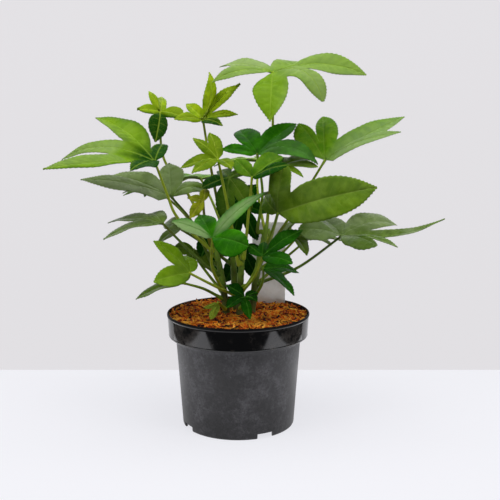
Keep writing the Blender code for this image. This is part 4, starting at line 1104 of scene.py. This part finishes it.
# Potting soil: coir and bark chips over a rough bed
soilLook = {
    "level": 147 * mm,
    "relief": 1.6 * mm,
    "lumps": ((1.4 * mm, 130, 0), (0.8 * mm, 330, 1)),   # height, how many to the metre, and which set
    "radius": 91.8 * mm,
    "edgeDrop": 1.5 * mm,
    "cells": 150,
    "rings": ((91.6, 126), (81.9, 118.6), (74.0, 10.2)),   # radius and height of the outline below, in mm
    "bed": [(0.40, "#280E04"), (0.54, "#6A2808"), (0.68, "#B45A10")],
    "coir": [(0.0, "#220A04"), (0.2, "#642204"), (0.42, "#C24A04"), (0.66, "#FC7C08"), (0.86, "#FFA01A"),
             (1.0, "#FFB83C")],
    "dampPatch": 14 * mm,
    "dampDepth": 1.0,
    "seed": 11,
}
chipLook = {   # lengths in mm
    "count": 4800,
    "spread": 0.985,
    "length": (5.0, 18.0),
    "widthShare": (0.08, 0.20),
    "thickness": (0.6, 1.7),
    "overhang": 0.4,
    "rise": (-0.6, 3.0),
    "pitch": 0.32,
    "roll": 0.4,
    "endWidth": (0.35, 0.9),
    "otherEndWidth": (0.2, 0.9),
    "bend": (-0.14, 0.14),
    "section": ((-0.5, -0.5), (0.5, -0.5), (0.4, 0.5), (-0.4, 0.5)),
    "shade": (0.66, 0.44),
}
fibreLook = {   # lengths in mm
    "count": 1900,
    "spread": 0.94,
    "reach": 0.985,
    "length": (6, 20),
    "curl": (-1.4, 1.4),
    "hop": (0.4, 2.2),
    "radius": (0.18, 0.38),
    "lift": 1.1,
    "steps": 5,
    "sides": 3,
    "shade": (0.72, 0.22),
}


def soilHeight(x, y):   # long swells, lumps, and a drop towards the pot's wall
    look = soilLook
    base = look["relief"] * (0.6 * math.sin(x / (11 * mm) + 0.7) * math.cos(y / (9 * mm))
                             + 0.4 * math.sin((x + 2 * y) / (7 * mm)))
    lumps = sum(high * noise.noise(Vector((x, y, layer)) * scale) for high, scale, layer in look["lumps"])
    edge = max(0, math.hypot(x, y) / look["radius"] - 0.9) * 10
    return look["level"] + base + lumps - look["edgeDrop"] * edge ** 2


def soilMaterial():
    # Damp coir dust between the chips: dark red-brown, with crumbs of about 2 mm
    material, add, place = newMaterial("coir bed")
    crumb = add("TexNoise", {"Vector": place, "Scale": 480, "Detail": 6, "Roughness": 0.7})
    bump = add("Bump", {"Height": crumb, "Strength": 0.9, "Distance": 1.2 * mm})
    return finish(material, {"Base Color": add("ValToRGB", [crumb], soilLook["bed"]), "Roughness": 0.95,
                             "Normal": bump})


def chipMaterial():
    # Coconut husk chips and fibre: orange to dark brown, each chip its own shade, dull, with a grain of
    # about 1 mm
    material, add, place = newMaterial("coir chips")
    shade = add("Attribute", attribute_name="shade").outputs["Fac"]
    grain = add("TexNoise", {"Vector": place, "Scale": 900, "Detail": 3})
    husk = add("ValToRGB", [shade], soilLook["coir"])
    lines = add("ValToRGB", [grain], [(0.3, 0.6), (0.65, 1.0)])
    colour = add("Mix", {0: 0.4, 6: husk, 7: lines}, data_type="RGBA", blend_type="MULTIPLY")
    return finish(material, {"Base Color": colour, "Roughness": 0.8})


def makeSoil():
    look = soilLook
    deselectAll()
    cells = look["cells"]
    bpy.ops.mesh.primitive_grid_add(x_subdivisions=cells, y_subdivisions=cells, size=2)
    bed = bpy.context.active_object
    for vertex in bed.data.vertices:   # the square grid is drawn into a disc
        x, y = vertex.co.x, vertex.co.y
        reach = max(abs(x), abs(y))
        flat = math.hypot(x, y)
        size = reach / flat * look["radius"] if flat > 0 else 0
        vertex.co = (x * size, y * size, 0)
        vertex.co.z = soilHeight(vertex.co.x, vertex.co.y)
    editAll()
    bpy.ops.mesh.region_to_loop()
    for radius, height in look["rings"]:
        bpy.ops.mesh.extrude_edges_move()
        ringMesh = bmesh.from_edit_mesh(bed.data)
        for vertex in ringMesh.verts:
            if vertex.select:
                direction = Vector((vertex.co.x, vertex.co.y)).normalized() * radius * mm
                vertex.co = (direction.x, direction.y, height * mm)
        bmesh.update_edit_mesh(bed.data)
    bpy.ops.mesh.edge_face_add()
    faceOut()
    bed.name = "soil_bed"
    bpy.ops.object.shade_smooth()
    dress(bed, soilMaterial())
    seat(bed, "potting_soil", "potting_soil")


def spotOn(draw, share):   # a random place on the soil, within a share of its radius
    angle = draw.uniform(0, 2 * math.pi)
    reach = soilLook["radius"] * math.sqrt(draw.uniform(0, 1)) * share
    return reach * math.cos(angle), reach * math.sin(angle)


def keepInside(place, limit):   # what reaches too far out is drawn in, clear of the pot's wall
    out = math.hypot(place.x, place.y) / limit
    if out > 1:
        place.x /= out
        place.y /= out


def shadeDrawn(draw, middle, spread, damp=0.0):
    return min(1, max(0, draw.gauss(middle, spread) + damp))


def addChip(draw, points, faces, shades):   # a bent splinter through three cross sections
    look = chipLook
    x, y = spotOn(draw, look["spread"])
    length = draw.uniform(*look["length"]) * mm
    width = length * draw.uniform(*look["widthShare"])
    thick = draw.uniform(*look["thickness"]) * mm
    turn = Matrix.Rotation(draw.uniform(0, math.pi), 4, "Z")
    turn = turn @ Matrix.Rotation(draw.gauss(0, look["pitch"]), 4, "Y")
    turn = turn @ Matrix.Rotation(draw.gauss(0, look["roll"]), 4, "X")
    centre = Vector((x, y, soilHeight(x, y) + draw.uniform(*look["rise"]) * mm))
    end = draw.uniform(*look["endWidth"])
    bend = draw.uniform(*look["bend"]) * length
    otherEnd = draw.uniform(*look["otherEndWidth"])
    at = len(points)
    for part, size in ((-0.5, end), (0.0, 1.0), (0.5, otherEnd)):
        for dy, dz in look["section"]:
            up = dz * thick * size + bend * (1 - 4 * part * part)
            place = centre + turn @ Vector((part * length, dy * width * size, up))
            keepInside(place, soilLook["radius"] + look["overhang"] * mm)
            points.append(place)
    for a in (at, at + 4):
        for n in range(4):
            m = (n + 1) % 4
            faces.append((a + n, a + m, a + m + 4, a + n + 4))
    faces += [(at + 3, at + 2, at + 1, at), (at + 8, at + 9, at + 10, at + 11)]
    damp = soilLook["dampDepth"] * noise.noise(Vector((x, y, 0)) / soilLook["dampPatch"])
    shades += [shadeDrawn(draw, *look["shade"], damp)] * (len(points) - at)


def addFibre(draw, points, faces, shades):   # a curled thread that arches over the chips
    look = fibreLook
    x, y = spotOn(draw, look["spread"])
    length = draw.uniform(*look["length"]) * mm
    heading = draw.uniform(0, 2 * math.pi)
    curl = draw.uniform(*look["curl"])
    hop = draw.uniform(*look["hop"]) * mm
    radius = draw.uniform(*look["radius"]) * mm
    at, steps, sides = len(points), look["steps"], look["sides"]
    for n in range(steps + 1):
        place = Vector((x, y, 0))
        keepInside(place, soilLook["radius"] * look["reach"])
        arch = hop * math.sin(math.pi * n / steps)
        place.z = soilHeight(place.x, place.y) + look["lift"] * mm + arch
        sideWays = Vector((-math.sin(heading), math.cos(heading), 0))
        for turn in range(sides):
            a = 2 * math.pi * turn / sides
            points.append(place + (sideWays * math.cos(a) + Vector((0, 0, 1)) * math.sin(a)) * radius)
        heading += curl / steps
        x += length / steps * math.cos(heading)
        y += length / steps * math.sin(heading)
    for n in range(steps):
        for turn in range(sides):
            a, b = at + sides * n + turn, at + sides * n + (turn + 1) % sides
            faces.append((a, b, b + sides, a + sides))
    last = at + sides * steps
    faces += [tuple(reversed(range(at, at + sides))), tuple(range(last, last + sides))]
    shades += [shadeDrawn(draw, *look["shade"])] * (len(points) - at)


def scatterChips():
    draw = random.Random(soilLook["seed"])
    points, faces, shades = [], [], []
    for k in range(chipLook["count"]):
        addChip(draw, points, faces, shades)
    for k in range(fibreLook["count"]):
        addFibre(draw, points, faces, shades)
    mesh = bpy.data.meshes.new("soil_chips")
    mesh.from_pydata(points, [], faces)
    shade = mesh.attributes.new("shade", "FLOAT", "POINT")
    shade.data.foreach_set("value", shades)
    chips = addObject("soil_chips", mesh)
    dress(chips, chipMaterial())
    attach(chips, "root")


makeSoil()
scatterChips()
print("soil ready")

# Label: a blank polystyrene stick-in plate
labelLook = {
    "width": 46 * mm,
    "thickness": 1.0 * mm,
    "top": 264 * mm,
    "foot": 118 * mm,
    "tongue": 20 * mm,
    "tongueTip": 0.5,
    "shoulder": 138 * mm,
    "place": (42 * mm, 62 * mm),
    "corner": 4 * mm,
    "edge": 0.2 * mm,
    "white": "#FAFAF6",
    "smear": "#E2E2DC",
    "letThrough": 0.45,
}


def labelMaterial():
    # Thin white polystyrene sheet, dull, letting some light through, with smears about 11 mm across
    material, add, place = newMaterial("white polystyrene")
    smear = add("TexNoise", {"Vector": place, "Scale": 90, "Detail": 5})
    colour = add("ValToRGB", [smear], [(0.3, labelLook["smear"]), (0.6, labelLook["white"])])
    return finish(material, {"Base Color": colour, "Roughness": 0.5, "IOR": 1.5,
                             "Transmission Weight": labelLook["letThrough"]})


def makeLabel():
    look = labelLook
    half, tongue = look["width"] / 2, look["tongue"] / 2
    deselectAll()
    middle = (look["top"] + look["shoulder"]) / 2
    bpy.ops.mesh.primitive_cube_add(size=1, location=(*look["place"], middle))
    plate = bpy.context.active_object
    plate.name = "label_plate"
    plate.scale = (look["width"], look["thickness"], look["top"] - look["shoulder"])
    settle(plate)
    bpy.ops.object.mode_set(mode="EDIT")
    bpy.ops.mesh.select_mode(type="FACE")
    bpy.ops.mesh.select_all(action="DESELECT")
    work = bmesh.from_edit_mesh(plate.data)
    for face in work.faces:
        face.select = face.normal.z < -0.9
    bmesh.update_edit_mesh(plate.data)
    down = half - tongue
    bpy.ops.mesh.extrude_region_move(TRANSFORM_OT_translate={"value": (0, 0, -down)})
    x, y = look["place"]
    bpy.ops.transform.resize(value=(look["tongue"] / look["width"], 1, 1), center_override=(x, y, 0))
    rest = look["shoulder"] - down - look["foot"]
    bpy.ops.mesh.extrude_region_move(TRANSFORM_OT_translate={"value": (0, 0, -rest)})
    bpy.ops.transform.resize(value=(look["tongueTip"], 1, 1), center_override=(x, y, 0))
    bpy.ops.object.mode_set(mode="OBJECT")
    work = bmesh.new()
    work.from_mesh(plate.data)
    upright = [e for e in work.edges if abs(e.verts[0].co.y - e.verts[1].co.y) > 0.5 * look["thickness"]
               and e.verts[0].co.z > look["top"] - 1 * mm]
    bmesh.ops.bevel(work, geom=upright, offset=look["corner"], segments=6, affect="EDGES", profile=0.5)
    work.to_mesh(plate.data)
    work.free()
    bevel = plate.modifiers.new("edge", "BEVEL")
    bevel.width = look["edge"]
    bevel.segments = 2
    bevel.limit_method = "ANGLE"
    applyAll(plate)
    dress(plate, labelMaterial())
    seat(plate, "label_plastic", "plant_label")


makeLabel()
print("label ready")

faces = sum(len(o.data.polygons) for o in bpy.data.objects if o.type == "MESH" and not o.hide_render)
print("faces in all", faces)
